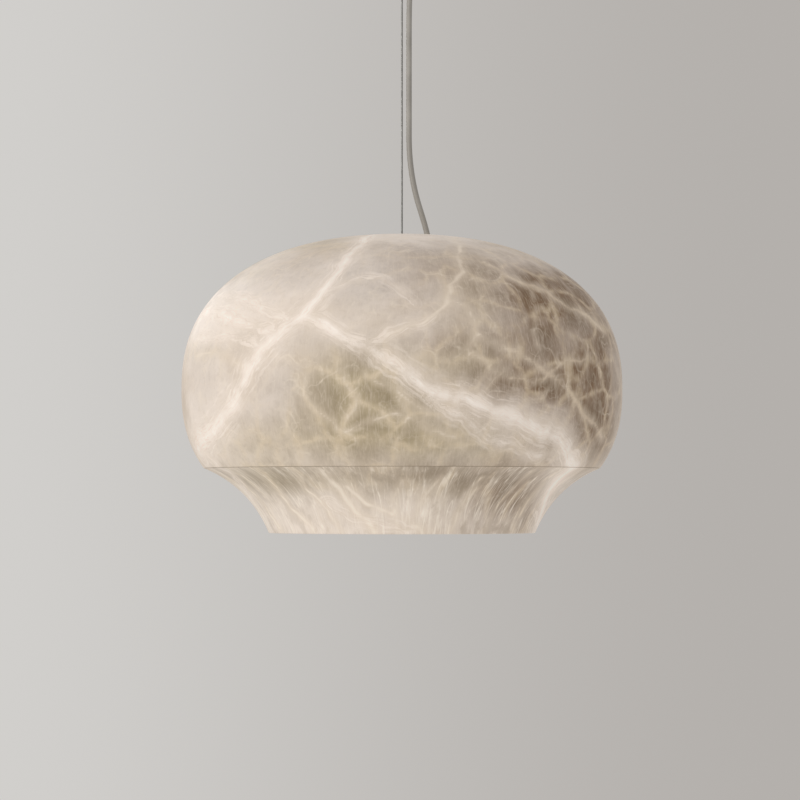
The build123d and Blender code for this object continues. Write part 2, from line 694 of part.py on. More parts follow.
block_z = strap_under_z - BLOCK_HEIGHT / 2
pole_places = (-POLE_PITCH / 2, POLE_PITCH / 2)
with BuildPart() as terminal_block:
    with Locations((0, BLOCK_Y, block_z)):
        Box(BLOCK_LENGTH, BLOCK_WIDTH, BLOCK_HEIGHT)
    fillet(terminal_block.edges().filter_by(Axis.Z), BLOCK_EDGE)
    with BuildSketch(Plane.XY.offset(strap_under_z - BLOCK_HEIGHT)):
        with Locations((0, BLOCK_Y)):
            with GridLocations(POLE_PITCH, CLAMP_SCREW_SPREAD, 2, 2):
                Circle(CLAMP_SCREW_RADIUS)
    extrude(amount=BLOCK_HEIGHT / 2, mode=Mode.SUBTRACT)
finish(terminal_block, "terminal_block")

with BuildPart() as terminal_screws:
    with BuildSketch(Plane.XY.offset(block_z)):
        with Locations((0, BLOCK_Y)):
            with GridLocations(POLE_PITCH, CLAMP_SCREW_SPREAD, 2, 2):
                Circle(CLAMP_SCREW_RADIUS - THREAD_CLEARANCE / 2)
    extrude(amount=-BLOCK_HEIGHT / 4)
finish(terminal_screws, "terminal_screws")

# From the block to the inside of the coil, where the jacket of the flex ends.
lead_start_y = BLOCK_Y - BLOCK_WIDTH / 2
lead_end_y = -sqrt(cord_coil_inner**2 - (POLE_PITCH / 2 + LEAD_RADIUS) ** 2)
with BuildPart() as canopy_leads:
    with BuildSketch(Plane.XZ.offset(-lead_start_y)):
        with Locations(*[(place, block_z) for place in pole_places]):
            Circle(LEAD_RADIUS)
    extrude(amount=lead_start_y - lead_end_y)
finish(canopy_leads, "canopy_leads")

# The earth screw, in the arm of the strap that the block leaves free.
with BuildPart() as earth_screw:
    with BuildSketch(Plane.XY.offset(strap_under_z)):
        with Locations((EARTH_X, EARTH_Y)):
            Circle(SCREW_HEAD_RADIUS)
    extrude(amount=-SCREW_HEAD)
    with BuildSketch(Plane.XY.offset(strap_under_z)):
        with Locations((EARTH_X, EARTH_Y)):
            Circle(SCREW_RADIUS - THREAD_CLEARANCE)
    extrude(amount=2 * STRAP_THICKNESS)
finish(earth_screw, "earth_screw")

# ---------------------------------------------------------------------------------------------------------
# The plate that carries the stone
# ---------------------------------------------------------------------------------------------------------

with BuildPart() as stone_gasket:
    with BuildSketch(Plane.XY.offset(plate_top_z)):
        Circle(plate_radius)
        Circle(gasket_inner, mode=Mode.SUBTRACT)
    extrude(amount=GASKET_THICKNESS)
finish(stone_gasket, "stone_gasket")

foot_y = YOKE_SPAN + YOKE_FOOT / 2
yoke_screw_places = [(x * YOKE_SCREW_SPREAD / 2, y * foot_y) for x in (-1, 1) for y in (-1, 1)]
with BuildPart() as carrier_plate:
    with BuildSketch(Plane.XY.offset(plate_under_z)):
        Circle(plate_radius)
        Circle(HUB_NECK_RADIUS + THREAD_CLEARANCE, mode=Mode.SUBTRACT)
        with Locations((GLAND_X, 0)):
            Circle(GLAND_NECK + THREAD_CLEARANCE, mode=Mode.SUBTRACT)
        with PolarLocations(VENT_CIRCLE, VENT_COUNT, start_angle=180 / VENT_COUNT):
            Circle(VENT_RADIUS, mode=Mode.SUBTRACT)
        with Locations(*yoke_screw_places):
            Circle(SCREW_RADIUS, mode=Mode.SUBTRACT)
    extrude(amount=PLATE_THICKNESS)
finish(carrier_plate, "carrier_plate")

# The wire's ball pulls up into this hub. Its throat widens upwards, so that the stone can rock on the ball.
throat_rise = sqrt(socket_radius**2 - HUB_THROAT**2)
with BuildPart() as wire_hub:
    with BuildSketch(Plane.XZ):
        with BuildLine():
            RadiusArc((HUB_THROAT, wire_ball_z + throat_rise), (socket_radius, wire_ball_z), socket_radius)
            Polyline(
                (socket_radius, wire_ball_z),
                (socket_radius, hub_under_z),
                (HUB_FLANGE_RADIUS, hub_under_z),
                (HUB_FLANGE_RADIUS, plate_under_z),
                (HUB_NECK_RADIUS, plate_under_z),
                (HUB_NECK_RADIUS, hub_top_z),
                (HUB_MOUTH, hub_top_z),
                (HUB_THROAT, wire_ball_z + throat_rise),
            )
        make_face()
    revolve(axis=Axis.Z)
finish(wire_hub, "wire_hub")

with BuildPart() as hub_nut:
    with BuildSketch(Plane.XY.offset(plate_top_z)):
        RegularPolygon(HUB_NUT_FLATS / 2, 6, major_radius=False)
        Circle(HUB_NECK_RADIUS, mode=Mode.SUBTRACT)
    extrude(amount=HUB_NUT_HEIGHT)
finish(hub_nut, "hub_nut")

# The gland grips the flex where it passes through the plate, and its nut draws it down.
gland_top_z = plate_top_z + GLAND_HEAD
gland_end_z = plate_under_z - GLAND_STEM
with BuildPart() as cord_gland:
    with BuildSketch(Plane.XZ):
        with BuildLine():
            Polyline(
                (GLAND_X + CORD_BORE, gland_top_z),
                (GLAND_X + GLAND_CROWN_RADIUS, gland_top_z),
                (GLAND_X + GLAND_HEAD_RADIUS, plate_top_z + GLAND_HEAD / 2),
                (GLAND_X + GLAND_HEAD_RADIUS, plate_top_z),
                (GLAND_X + GLAND_NECK, plate_top_z),
                (GLAND_X + GLAND_NECK, gland_end_z),
                (GLAND_X + CORD_BORE, gland_end_z),
                close=True,
            )
        make_face()
    revolve(axis=gland_axis)
finish(cord_gland, "cord_gland")

with BuildPart() as gland_nut:
    with BuildSketch(Plane.XY.offset(plate_under_z - GLAND_NUT_HEIGHT)):
        with Locations((GLAND_X, 0)):
            RegularPolygon(GLAND_NUT_FLATS / 2, 6, major_radius=False)
            Circle(GLAND_NECK, mode=Mode.SUBTRACT)
    extrude(amount=GLAND_NUT_HEIGHT)
finish(gland_nut, "gland_nut")

# ---------------------------------------------------------------------------------------------------------
# The yoke and the lamp holder
# ---------------------------------------------------------------------------------------------------------

with BuildPart() as lamp_yoke:
    with BuildSketch(Plane.YZ):
        with BuildLine():
            foot_end = YOKE_SPAN + YOKE_FOOT
            inside = YOKE_SPAN - YOKE_THICKNESS
            foot_under = plate_under_z - YOKE_THICKNESS
            Polyline(
                (-foot_end, plate_under_z),
                (-inside, plate_under_z),
                (-inside, yoke_top_z),
                (inside, yoke_top_z),
                (inside, plate_under_z),
                (foot_end, plate_under_z),
                (foot_end, foot_under),
                (YOKE_SPAN, foot_under),
                (YOKE_SPAN, yoke_under_z),
                (-YOKE_SPAN, yoke_under_z),
                (-YOKE_SPAN, foot_under),
                (-foot_end, foot_under),
                close=True,
            )
        make_face()
    extrude(amount=YOKE_WIDTH / 2, both=True)
    fillet(lamp_yoke.edges().filter_by(Axis.X).group_by(Axis.Z)[0], YOKE_BEND)
    with BuildSketch(Plane.XY.offset(yoke_under_z)):
        Circle(TUBE_RADIUS + THREAD_CLEARANCE)
    extrude(amount=YOKE_THICKNESS, mode=Mode.SUBTRACT)
    with BuildSketch(Plane.XY.offset(foot_under)):
        with Locations(*yoke_screw_places):
            Circle(SCREW_RADIUS)
    extrude(amount=YOKE_THICKNESS, mode=Mode.SUBTRACT)
finish(lamp_yoke, "lamp_yoke")

with BuildPart() as yoke_screws:
    with BuildSketch(Plane.XY.offset(foot_under)):
        with Locations(*yoke_screw_places):
            Circle(SCREW_RADIUS - THREAD_CLEARANCE)
    extrude(amount=YOKE_THICKNESS + PLATE_THICKNESS)
    with BuildSketch(Plane.XY.offset(foot_under)):
        with Locations(*yoke_screw_places):
            Circle(SCREW_HEAD_RADIUS)
    extrude(amount=-SCREW_HEAD)
finish(yoke_screws, "yoke_screws")

with BuildPart() as holder_tube:
    with BuildSketch(Plane.XY.offset(holder_tube_end_z)):
        Circle(TUBE_RADIUS)
        Circle(HOLDER_TUBE_BORE, mode=Mode.SUBTRACT)
    extrude(amount=holder_tube_top_z - holder_tube_end_z)
finish(holder_tube, "holder_tube")

with BuildPart() as holder_nut:
    with BuildSketch(Plane.XY.offset(yoke_top_z)):
        RegularPolygon(TUBE_NUT_FLATS / 2, 6, major_radius=False)
        Circle(TUBE_RADIUS, mode=Mode.SUBTRACT)
    extrude(amount=TUBE_NUT_HEIGHT)
finish(holder_nut, "holder_nut")

# Below the plate the jacket ends, and the two leads go over to the tube and down into the holder.
stub_end_z = plate_under_z - STUB_LENGTH
with BuildPart() as inner_cord:
    with BuildSketch(Plane.XY.offset(stub_end_z)):
        with Locations((GLAND_X, 0)):
            Circle(CORD_RADIUS)
    extrude(amount=plate_middle_z - stub_end_z)
finish(inner_cord, "inner_cord")

with BuildPart() as holder_leads:
    for side in (-LEAD_SPREAD, LEAD_SPREAD):
        lead_points = [
            (GLAND_X, side, stub_end_z),
            (GLAND_X, side, LEAD_BEND_Z),
            *[(x, side, z) for x, z in LEAD_ROUTE],
            (0, side, LEAD_DROP_Z),
            (0, side, insert_top_z),
        ]
        lead_radii = corner_radii(lead_points)
        with BuildLine() as lead_route:
            FilletPolyline(*lead_points, radius=lead_radii)
        with BuildSketch(Plane(lead_route.line @ 0, z_dir=lead_route.line % 0)):
            Circle(LEAD_RADIUS)
        sweep(path=lead_route.line)
report_route("holder_leads", lead_points, lead_radii, holder_leads.part, LEAD_RADIUS * sqrt(2))
finish(holder_leads, "holder_leads")

cap_slope_z = yoke_under_z - CAP_NECK
with BuildPart() as holder_cap:
    with BuildSketch(Plane.XZ):
        with BuildLine():
            Polyline(
                (TUBE_RADIUS + THREAD_CLEARANCE, yoke_under_z),
                (CAP_NECK_RADIUS, yoke_under_z),
                (CAP_NECK_RADIUS, cap_slope_z),
                (CAP_RADIUS, cap_slope_z - CAP_SLOPE),
                (CAP_RADIUS, cap_end_z),
                (CAP_RADIUS - CAP_WALL, cap_end_z),
                (CAP_RADIUS - CAP_WALL, cap_slope_z - CAP_SLOPE - CAP_WALL),
                (TUBE_RADIUS + THREAD_CLEARANCE, cap_slope_z - CAP_WALL),
                close=True,
            )
        make_face()
    revolve(axis=Axis.Z)
finish(holder_cap, "holder_cap")

with BuildPart() as holder_ring:
    with BuildSketch(Plane.XY.offset(cap_end_z - BODY_RING_LENGTH)):
        Circle(BODY_RING_RADIUS)
        Circle(BODY_RING_RADIUS - BODY_RING_WALL, mode=Mode.SUBTRACT)
    extrude(amount=BODY_RING_LENGTH)
    fillet(holder_ring.edges().group_by(Axis.Z)[0], BODY_RING_WALL / 3)
finish(holder_ring, "holder_ring")

with BuildPart() as holder_insert:
    with BuildSketch(Plane.XY.offset(insert_under_z)):
        Circle(INSERT_RADIUS)
    extrude(amount=INSERT_HEIGHT)
    chamfer(holder_insert.edges().group_by(Axis.Z)[-1], INSERT_CHAMFER)
finish(holder_insert, "holder_insert")

with BuildPart() as screw_shell:
    with BuildSketch(Plane.XZ):
        with BuildLine():
            Polyline(
                (SHELL_RADIUS, insert_under_z - SHELL_WALL),
                (SHELL_RADIUS, insert_under_z - SHELL_LENGTH),
                (SHELL_RADIUS + SHELL_WALL, insert_under_z - SHELL_LENGTH),
                (SHELL_RADIUS + SHELL_WALL, insert_under_z - SHELL_WALL),
                (SHELL_FLANGE, insert_under_z - SHELL_WALL),
                (SHELL_FLANGE, insert_under_z),
                (SHELL_RADIUS - SHELL_SEAT, insert_under_z),
                (SHELL_RADIUS - SHELL_SEAT, insert_under_z - SHELL_WALL),
                close=True,
            )
        make_face()
    revolve(axis=Axis.Z)
finish(screw_shell, "screw_shell")

# The springy tongue that the bulb's tip presses on.
with BuildPart() as centre_contact:
    with BuildSketch(Plane.XZ):
        with BuildLine():
            Polyline(
                (-TONGUE_LENGTH / 2, insert_under_z),
                (0, insert_under_z),
                (0, insert_under_z - TONGUE_THICKNESS),
                (-TONGUE_LENGTH / 2 + TONGUE_THICKNESS, insert_under_z - TONGUE_THICKNESS),
                (-TONGUE_LENGTH / 2 + TONGUE_DROP, tip_z + TONGUE_THICKNESS),
                (TONGUE_LENGTH / 2, tip_z + TONGUE_THICKNESS),
                (TONGUE_LENGTH / 2, tip_z),
                (-TONGUE_LENGTH / 2 + TONGUE_DROP - TONGUE_THICKNESS, tip_z),
                (-TONGUE_LENGTH / 2, insert_under_z - TONGUE_THICKNESS),
                close=True,
            )
        make_face()
    extrude(amount=TONGUE_WIDTH / 2, both=True)
finish(centre_contact, "centre_contact")

# ---------------------------------------------------------------------------------------------------------
# The bulb
# ---------------------------------------------------------------------------------------------------------

with BuildPart() as bulb_tip:
    with BuildSketch(Plane.XY.offset(glaze_top_z)):
        Circle(TIP_RADIUS)
    extrude(amount=TIP_HEIGHT)
    fillet(bulb_tip.edges().group_by(Axis.Z)[-1], TIP_HEIGHT / 2)
finish(bulb_tip, "bulb_tip")

with BuildPart() as bulb_glaze:
    with BuildSketch(Plane.XZ):
        with BuildLine():
            Polyline(
                (0, glaze_top_z),
                (TIP_RADIUS, glaze_top_z),
                (GLAZE_RADIUS, lamp_cap_top_z),
                (0, lamp_cap_top_z),
                close=True,
            )
        make_face()
    revolve(axis=Axis.Z)
finish(bulb_glaze, "bulb_glaze")

with BuildPart() as bulb_cap:
    with BuildSketch(Plane.XY.offset(housing_top_z)):
        Circle(LAMP_CAP_RADIUS)
    extrude(amount=LAMP_CAP_LENGTH)
    chamfer(bulb_cap.edges().group_by(Axis.Z)[-1], LAMP_CAP_RADIUS - GLAZE_RADIUS)
finish(bulb_cap, "bulb_cap")

globe_centre_z = bulb_end_z + GLOBE_RADIUS
globe_rise = globe_top_z - globe_centre_z
globe_edge = sqrt(GLOBE_RADIUS**2 - globe_rise**2)
inner_globe = GLOBE_RADIUS - GLOBE_WALL
with BuildPart() as bulb_housing:
    with BuildSketch(Plane.XZ):
        with BuildLine():
            neck = LAMP_CAP_RADIUS + NECK_STEP
            neck_end_z = housing_top_z - NECK_LENGTH
            Polyline((0, globe_top_z), (0, housing_top_z), (neck, housing_top_z), (neck, neck_end_z))
            Spline(
                (neck, neck_end_z),
                (globe_edge, globe_top_z),
                tangents=[NECK_LEAN, GLOBE_LEAN],
            )
            Line((globe_edge, globe_top_z), (0, globe_top_z))
        make_face()
    revolve(axis=Axis.Z)
finish(bulb_housing, "bulb_housing")

with BuildPart() as bulb_globe:
    with BuildSketch(Plane.XZ):
        with BuildLine():
            inner_edge = sqrt(inner_globe**2 - globe_rise**2)
            RadiusArc((globe_edge, globe_top_z), (0, bulb_end_z), GLOBE_RADIUS)
            RadiusArc((inner_edge, globe_top_z), (0, bulb_end_z + GLOBE_WALL), inner_globe)
            Line((globe_edge, globe_top_z), (inner_edge, globe_top_z))
            Line((0, bulb_end_z), (0, bulb_end_z + GLOBE_WALL))
        make_face()
    revolve(axis=Axis.Z)
finish(bulb_globe, "bulb_globe")
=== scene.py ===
# %% [markdown]
# # A pendant lamp turned from alabaster
#
# The lamp hangs from a ceiling canopy on a thin steel wire, and its flex runs down beside the wire into
# the crown of the stone. The stone is the whole show: two turned pieces of alabaster, veined white over
# grey, olive and brown. The CAD model has every solid at its real size, so this lesson dresses it: it
# gives the stone its pattern, makes the wire, the flex and the small threaded pieces again in full detail,
# and finishes each metal and plastic piece.
#
# The first cell loads the CAD model as a fixed frame. Everything is in metres in that same frame: the
# origin is on the ceiling, +Z points up and +X is the side of the flex.

import json
from math import atan, cos, pi, radians, sin

import bpy
import numpy as np
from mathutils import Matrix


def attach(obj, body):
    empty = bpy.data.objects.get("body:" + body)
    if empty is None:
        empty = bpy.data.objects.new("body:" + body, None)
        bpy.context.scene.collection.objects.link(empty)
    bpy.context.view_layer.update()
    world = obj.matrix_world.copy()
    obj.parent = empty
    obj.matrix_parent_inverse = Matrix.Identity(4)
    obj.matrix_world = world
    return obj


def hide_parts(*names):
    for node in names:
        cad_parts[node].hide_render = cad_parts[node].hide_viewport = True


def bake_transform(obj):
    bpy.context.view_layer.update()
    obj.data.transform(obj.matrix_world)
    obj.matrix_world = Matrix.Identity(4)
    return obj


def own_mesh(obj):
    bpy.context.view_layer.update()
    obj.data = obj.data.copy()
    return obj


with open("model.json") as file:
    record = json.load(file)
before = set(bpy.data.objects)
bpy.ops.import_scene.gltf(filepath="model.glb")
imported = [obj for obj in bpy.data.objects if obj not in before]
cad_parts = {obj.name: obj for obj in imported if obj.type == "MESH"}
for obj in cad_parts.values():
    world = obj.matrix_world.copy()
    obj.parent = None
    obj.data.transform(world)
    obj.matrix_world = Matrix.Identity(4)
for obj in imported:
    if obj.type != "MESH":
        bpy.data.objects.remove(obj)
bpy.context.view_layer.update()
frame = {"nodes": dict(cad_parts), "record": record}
MM = 0.001

# %% [markdown]
# ## The camera
#
# The photograph was taken level with the lower half of the shade, from far enough away that the stone's
# rim is almost a straight line. A long lens does that. The camera stands three metres off and tips up by
# less than two degrees, which puts its horizon an eighth of the picture below the middle.

# %% The camera
PICTURE = 800
LENS = 135.0
SENSOR = 36.0
CAMERA_AT = np.array([-0.002, -3.068, -0.6505])
HORIZON_ROW = 500
FOCAL = LENS / SENSOR * PICTURE  # in pixels
TILT = atan((HORIZON_ROW - PICTURE / 2) / FOCAL)

camera_data = bpy.data.cameras.new("camera")
camera_data.lens = LENS
camera_data.sensor_width = SENSOR
camera = bpy.data.objects.new("camera", camera_data)
camera.location = CAMERA_AT
camera.rotation_euler = (pi / 2 + TILT, 0, 0)
bpy.context.collection.objects.link(camera)
bpy.context.scene.camera = camera
bpy.context.scene.view_settings.view_transform = "Standard"
print("camera tilt in degrees", round(TILT * 180 / pi, 2))

# %% [markdown]
# ## Meshes from formulas
#
# Most new surfaces here are a grid of points worked out by numpy as one array. `skin` turns such a grid
# into a mesh. Its two directions can each close on themselves, as a turned piece does round its axis.


# %% A grid of points becomes a mesh
def skin(name, grid, wrap_u=False, wrap_v=False, caps=False, crease=35):
    """grid[u, v] is a point. Each cell between neighbours becomes a four-sided face, and a direction that
    wraps has one more row of cells from its last points back to its first. caps closes the two ends along
    u."""
    nu, nv = grid.shape[:2]
    index = np.arange(nu * nv).reshape(nu, nv)
    rows = np.vstack([index, index[:1]]) if wrap_u else index
    rows = np.hstack([rows, rows[:, :1]]) if wrap_v else rows
    quads = np.stack([rows[:-1, :-1], rows[1:, :-1], rows[1:, 1:], rows[:-1, 1:]], axis=-1).reshape(-1, 4)
    ends = [index[0].tolist(), index[-1, ::-1].tolist()] if caps else []
    mesh = bpy.data.meshes.new(name)
    mesh.from_pydata(grid.reshape(-1, 3), [], quads.tolist() + ends)
    mesh.shade_smooth()
    mesh.set_sharp_from_angle(angle=radians(crease))
    piece = bpy.data.objects.new(name, mesh)
    bpy.context.collection.objects.link(piece)
    return piece


print("a grid of points can become a mesh")


# %% Turned pieces and their volume
def polar(radius, t, z):
    """The points at these radii, angles and heights round the upright axis: x = radius cos t, y = radius
    sin t."""
    return np.stack([radius * np.cos(t), radius * np.sin(t), z + 0 * t], axis=-1)


def turned(name, profile, around, centre=(0, 0)):
    """profile is a closed loop of (radius, height), and each of its points goes round the axis at centre."""
    t = np.linspace(0, 2 * pi, around, endpoint=False)[:, None]
    radius, height = np.asarray(profile, float).T[:, None, :]
    return skin(name, polar(radius, t, height) + (*centre, 0), wrap_u=True, wrap_v=True)


def points_of(mesh):
    """All the mesh's points, one to a row."""
    points = np.empty(len(mesh.vertices) * 3)
    mesh.vertices.foreach_get("co", points)
    return points.reshape(-1, 3)


def enclosed(piece):
    """The volume inside a closed mesh, which is negative if its faces point inwards."""
    mesh = piece.data
    mesh.calc_loop_triangles()
    corners = np.empty(len(mesh.loop_triangles) * 3, np.int32)
    mesh.loop_triangles.foreach_get("vertices", corners)
    a, b, c = points_of(mesh)[corners.reshape(-1, 3)].transpose(1, 0, 2)
    return float(np.einsum("ij,ij->i", a, np.cross(b, c)).sum() / 6)


print("profiles can be turned round an axis")

# %% [markdown]
# ## The wire and the flex
#
# The lamp's weight pulls the wire straight, and the flex runs down beside it, held by a clip just under
# the ceiling fitting. Near the stone it leaves the wire in one long easy curve. A flex is a fixed length
# of something springy, so its line is a smooth NURBS spline along the route that the CAD tube takes, and
# the tube itself is the spline with a bevel.

# %% Where the wire and the flex go
MOUTH_Z = -0.081
WIRE_RADIUS = 0.0009
CORD_RADIUS = 0.0029
GRIP_X = 0.015
FLEX_TOP_Z = MOUTH_Z + 0.006  # inside the sleeve
CORD_OFFSET = 0.0072
GLAND_X = 0.0292
CORD_ROUTE = [
    (GRIP_X, 0, FLEX_TOP_Z),
    (GRIP_X, 0, -0.094),
    (CORD_OFFSET, 0, -0.112),
    (CORD_OFFSET, 0, -0.236),
    (CORD_OFFSET, 0, -0.317),
    (GLAND_X, 0, -0.386),
    (GLAND_X, 0, -0.3993),
]
print("the flex is drawn by", len(CORD_ROUTE), "control points")


# %% Smooth lines and tubes
def spline(name, points, depth=0.0, sides=6):
    """A NURBS curve of order 3 with these control points, rounded to a tube where depth isn't 0."""
    curve = bpy.data.curves.new(name, "CURVE")
    curve.dimensions = "3D"
    curve.resolution_u = 16
    curve.bevel_depth = depth
    curve.bevel_resolution = sides
    curve.use_fill_caps = depth > 0
    line = curve.splines.new("NURBS")
    line.points.add(len(points) - 1)
    line.points.foreach_set("co", np.c_[np.asarray(points, float), np.ones(len(points))].ravel())
    line.order_u = 3
    line.use_endpoint_u = True
    piece = bpy.data.objects.new(name, curve)
    bpy.context.collection.objects.link(piece)
    return piece


def as_mesh(piece):
    """The same piece as a mesh."""
    bpy.context.view_layer.update()
    mesh = bpy.data.meshes.new_from_object(piece.evaluated_get(bpy.context.evaluated_depsgraph_get()))
    name = piece.name
    bpy.data.objects.remove(piece)
    made = bpy.data.objects.new(name, mesh)
    bpy.context.collection.objects.link(made)
    mesh.shade_smooth()
    return made


def centre_line(points):
    """The points along the route's own smooth line."""
    line = as_mesh(spline("route", points))
    path = points_of(line.data)
    bpy.data.objects.remove(line)
    return path


def length_of(path):
    """The sum of the distances between neighbouring points."""
    return float(np.linalg.norm(np.diff(path, axis=0), axis=1).sum())


print("routes can become tubes")

# %% The hanging flex
cord_path = centre_line(CORD_ROUTE)
flex = as_mesh(spline("flex", CORD_ROUTE, CORD_RADIUS, 8))
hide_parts("power_cord")
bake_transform(flex)
print("flex", round(length_of(cord_path), 4), "m hangs free")

# %% [markdown]
# ## Materials as arithmetic
#
# A procedural material is a formula over the surface. `Value` wraps a socket of a node tree so that the
# formula can be written as one: each operator adds the node that does it. `node` adds any node at all and
# plugs its inputs.


# %% A socket that does arithmetic
class Value:
    """A number, colour or vector inside a node tree."""

    def __init__(self, tree, socket):
        self.tree, self.socket = tree, socket

    def node(self, kind, output=0, inputs=None, **settings):
        """Adds a node, sets its settings, and plugs or sets the inputs named by number or name."""
        made = self.tree.nodes.new(kind)
        for key, value in settings.items():
            setattr(made, key, value)
        for key, value in (inputs or {}).items():
            if isinstance(value, Value):
                self.tree.links.new(value.socket, made.inputs[key])
            else:
                made.inputs[key].default_value = value
        return Value(self.tree, made.outputs[output])

    def math(self, operation, *others):
        inputs = dict(enumerate((self, *others)))
        return self.node("ShaderNodeMath", inputs=inputs, operation=operation)

    def __add__(self, other):
        return self.math("ADD", other)

    def __sub__(self, other):
        return self.math("SUBTRACT", other)

    def __mul__(self, other):
        return self.math("MULTIPLY", other)

    def __pow__(self, other):
        return self.math("POWER", other)

    def __neg__(self):
        return self.math("MULTIPLY", -1.0)

    def __rsub__(self, other):
        return -self + other

    __radd__ = __add__
    __rmul__ = __mul__

    def rise(self, low, high):
        """0 below low, 1 above high and an easy S between them. low may be the larger, which turns it
        round."""
        inputs = {"Value": self, "From Min": low, "From Max": high}
        return self.node("ShaderNodeMapRange", inputs=inputs, interpolation_type="SMOOTHSTEP")

    def capped(self, most=1.0):
        return self.math("MINIMUM", most)

    def mix(self, other, share):
        """This colour where share is 0 and the other where it is 1."""
        inputs = {"Factor": share, 6: self, 7: other}
        return self.node("ShaderNodeMix", 2, inputs, data_type="RGBA")

    def vector(self, operation, other):
        return self.node("ShaderNodeVectorMath", inputs={0: self, 1: other}, operation=operation)

    def stretched(self, x, y, z):
        """This place with each of its axes multiplied."""
        return self.vector("MULTIPLY", (x, y, z))

    def noise(self, scale, detail=3.0, rough=0.5, output="Fac"):
        """Cloudy noise at this place, about 0.5 on average."""
        inputs = {"Vector": self, "Scale": scale, "Detail": detail, "Roughness": rough}
        return self.node("ShaderNodeTexNoise", output, inputs)

    def shaken(self, scale, reach, detail=2.0):
        """This place, moved by noise of that scale, up to about reach metres each way."""
        push = self.noise(scale, detail, output="Color").vector("SUBTRACT", (0.5, 0.5, 0.5))
        return self.vector("ADD", push.vector("MULTIPLY", (2 * reach,) * 3))

    def walls(self, scale):
        """Distance to the nearest wall between the cells of a Voronoi pattern, in cell widths."""
        inputs = {"Vector": self, "Scale": scale}
        return self.node("ShaderNodeTexVoronoi", "Distance", inputs, feature="DISTANCE_TO_EDGE")


print("sockets can be added, multiplied and mixed")


# %% Colours and materials
def constant(tree, colour):
    """A node that gives one linear colour."""
    made = tree.nodes.new("ShaderNodeRGB")
    made.outputs[0].default_value = colour
    return Value(tree, made.outputs[0])


def light_colour(r, g, b):
    """A colour given as it looks on a screen, from 0 to 255, as the linear one that light adds up in."""
    shares = (r / 255, g / 255, b / 255)
    linear = [c / 12.92 if c <= 0.04045 else ((c + 0.055) / 1.055) ** 2.4 for c in shares]
    return (*linear, 1.0)


class Material:
    """A Principled material. surface() takes formulas or numbers for its inputs."""

    def __init__(self, name):
        self.made = bpy.data.materials.new(name)
        self.made.use_nodes = True
        self.tree = self.made.node_tree
        self.shader = self.tree.nodes["Principled BSDF"]
        self.start = Value(self.tree, self.tree.nodes.new("ShaderNodeTexCoord").outputs["Object"])

    def attribute(self, name, output="Fac"):
        return self.start.node("ShaderNodeAttribute", output, attribute_name=name)

    def colour(self, r, g, b):
        return constant(self.tree, light_colour(r, g, b))

    def surface(self, height=None, depth=0.001, **inputs):
        """height is a formula for relief, and depth how many metres a height of 1 stands out."""
        for key, value in inputs.items():
            socket = self.shader.inputs[key.replace("_", " ")]
            if isinstance(value, Value):
                self.tree.links.new(value.socket, socket)
            else:
                socket.default_value = value
        if height is not None:
            relief = height.node("ShaderNodeBump", inputs={"Height": height, "Distance": depth})
            self.tree.links.new(relief.socket, self.shader.inputs["Normal"])
        return self.made


def dress(piece, material):
    """Gives a piece its material."""
    piece.data.materials.clear()
    piece.data.materials.append(material)


print("materials are ready to write")

# %% [markdown]
# ## The stone's outline
#
# Both stones are turned. The upper one follows a superellipse, which is a squarer ellipse: a point at the
# angle t has the radius R cos(t)^p and the height H sin(t)^p, where p is 2 over the exponent of
# roundness. The lower one is a concave arc. Both profiles go round the axis in fine even steps, so that
# the thinnest veins have enough points.

# %% Sizes of both stones
SHADE_RADIUS = 0.225
WIDEST_Z = -0.538
CROWN_RISE = 0.158
BELLY_REACH = 0.152
BELLY_DROP = 0.080
ROUNDNESS = 2.35
STONE_WALL = 0.010
OPENING_RADIUS = 0.040
OPENING_ROUND = 0.003
SEAT_RADIUS = 0.077
RIDGE_Z = WIDEST_Z - BELLY_DROP
RIM_Z = RIDGE_Z - 0.066
RIM_RADIUS = 0.136
RIM_ROUND = 0.0012
SKIRT_HOLLOW = 0.0095
SKIRT_SETBACK = 0.0008
LIP = 0.006
SEAM = 0.0004
BELLY_ROWS, CROWN_ROWS, FLARE_ROWS = 38, 112, 52
INNER_BELLY_ROWS, INNER_CROWN_ROWS, INNER_FLARE_ROWS = 12, 26, 20
print("the shade is", 2 * SHADE_RADIUS, "m wide and its rim lies at", round(RIM_Z, 3))


# %% The curves of the outline
def belly(drop, radius=SHADE_RADIUS, reach=BELLY_REACH):
    """Radius of the outline at a depth below its widest level."""
    return radius * (1 - (drop / reach) ** ROUNDNESS) ** (1 / ROUNDNESS)


def crown(top_radius, steps, radius=SHADE_RADIUS, rise=CROWN_RISE):
    """(radius, height) from the widest level up to where the outline is as narrow as top_radius, in even
    steps of the angle t: radius R cos(t)^p and height H sin(t)^p."""
    last = np.arccos((top_radius / radius) ** (ROUNDNESS / 2))
    t = last * np.linspace(0, 1, steps)
    power = 2 / ROUNDNESS
    return np.c_[radius * np.cos(t) ** power, WIDEST_Z + rise * np.sin(t) ** power]


def hollow_arc(start, end, depth, steps):
    """Points on the arc from start to end that lies depth inside its chord, towards the axis."""
    start, end = np.array(start), np.array(end)
    half = np.linalg.norm(end - start) / 2
    radius = (half**2 + depth**2) / (2 * depth)
    across = (end - start) / (2 * half)
    outward = np.array([-across[1], across[0]])
    centre = (start + end) / 2 + outward * (radius - depth)
    turn = np.arcsin(half / radius) * np.linspace(-1, 1, steps)[:, None]
    return centre + radius * (np.sin(turn) * across - np.cos(turn) * outward)


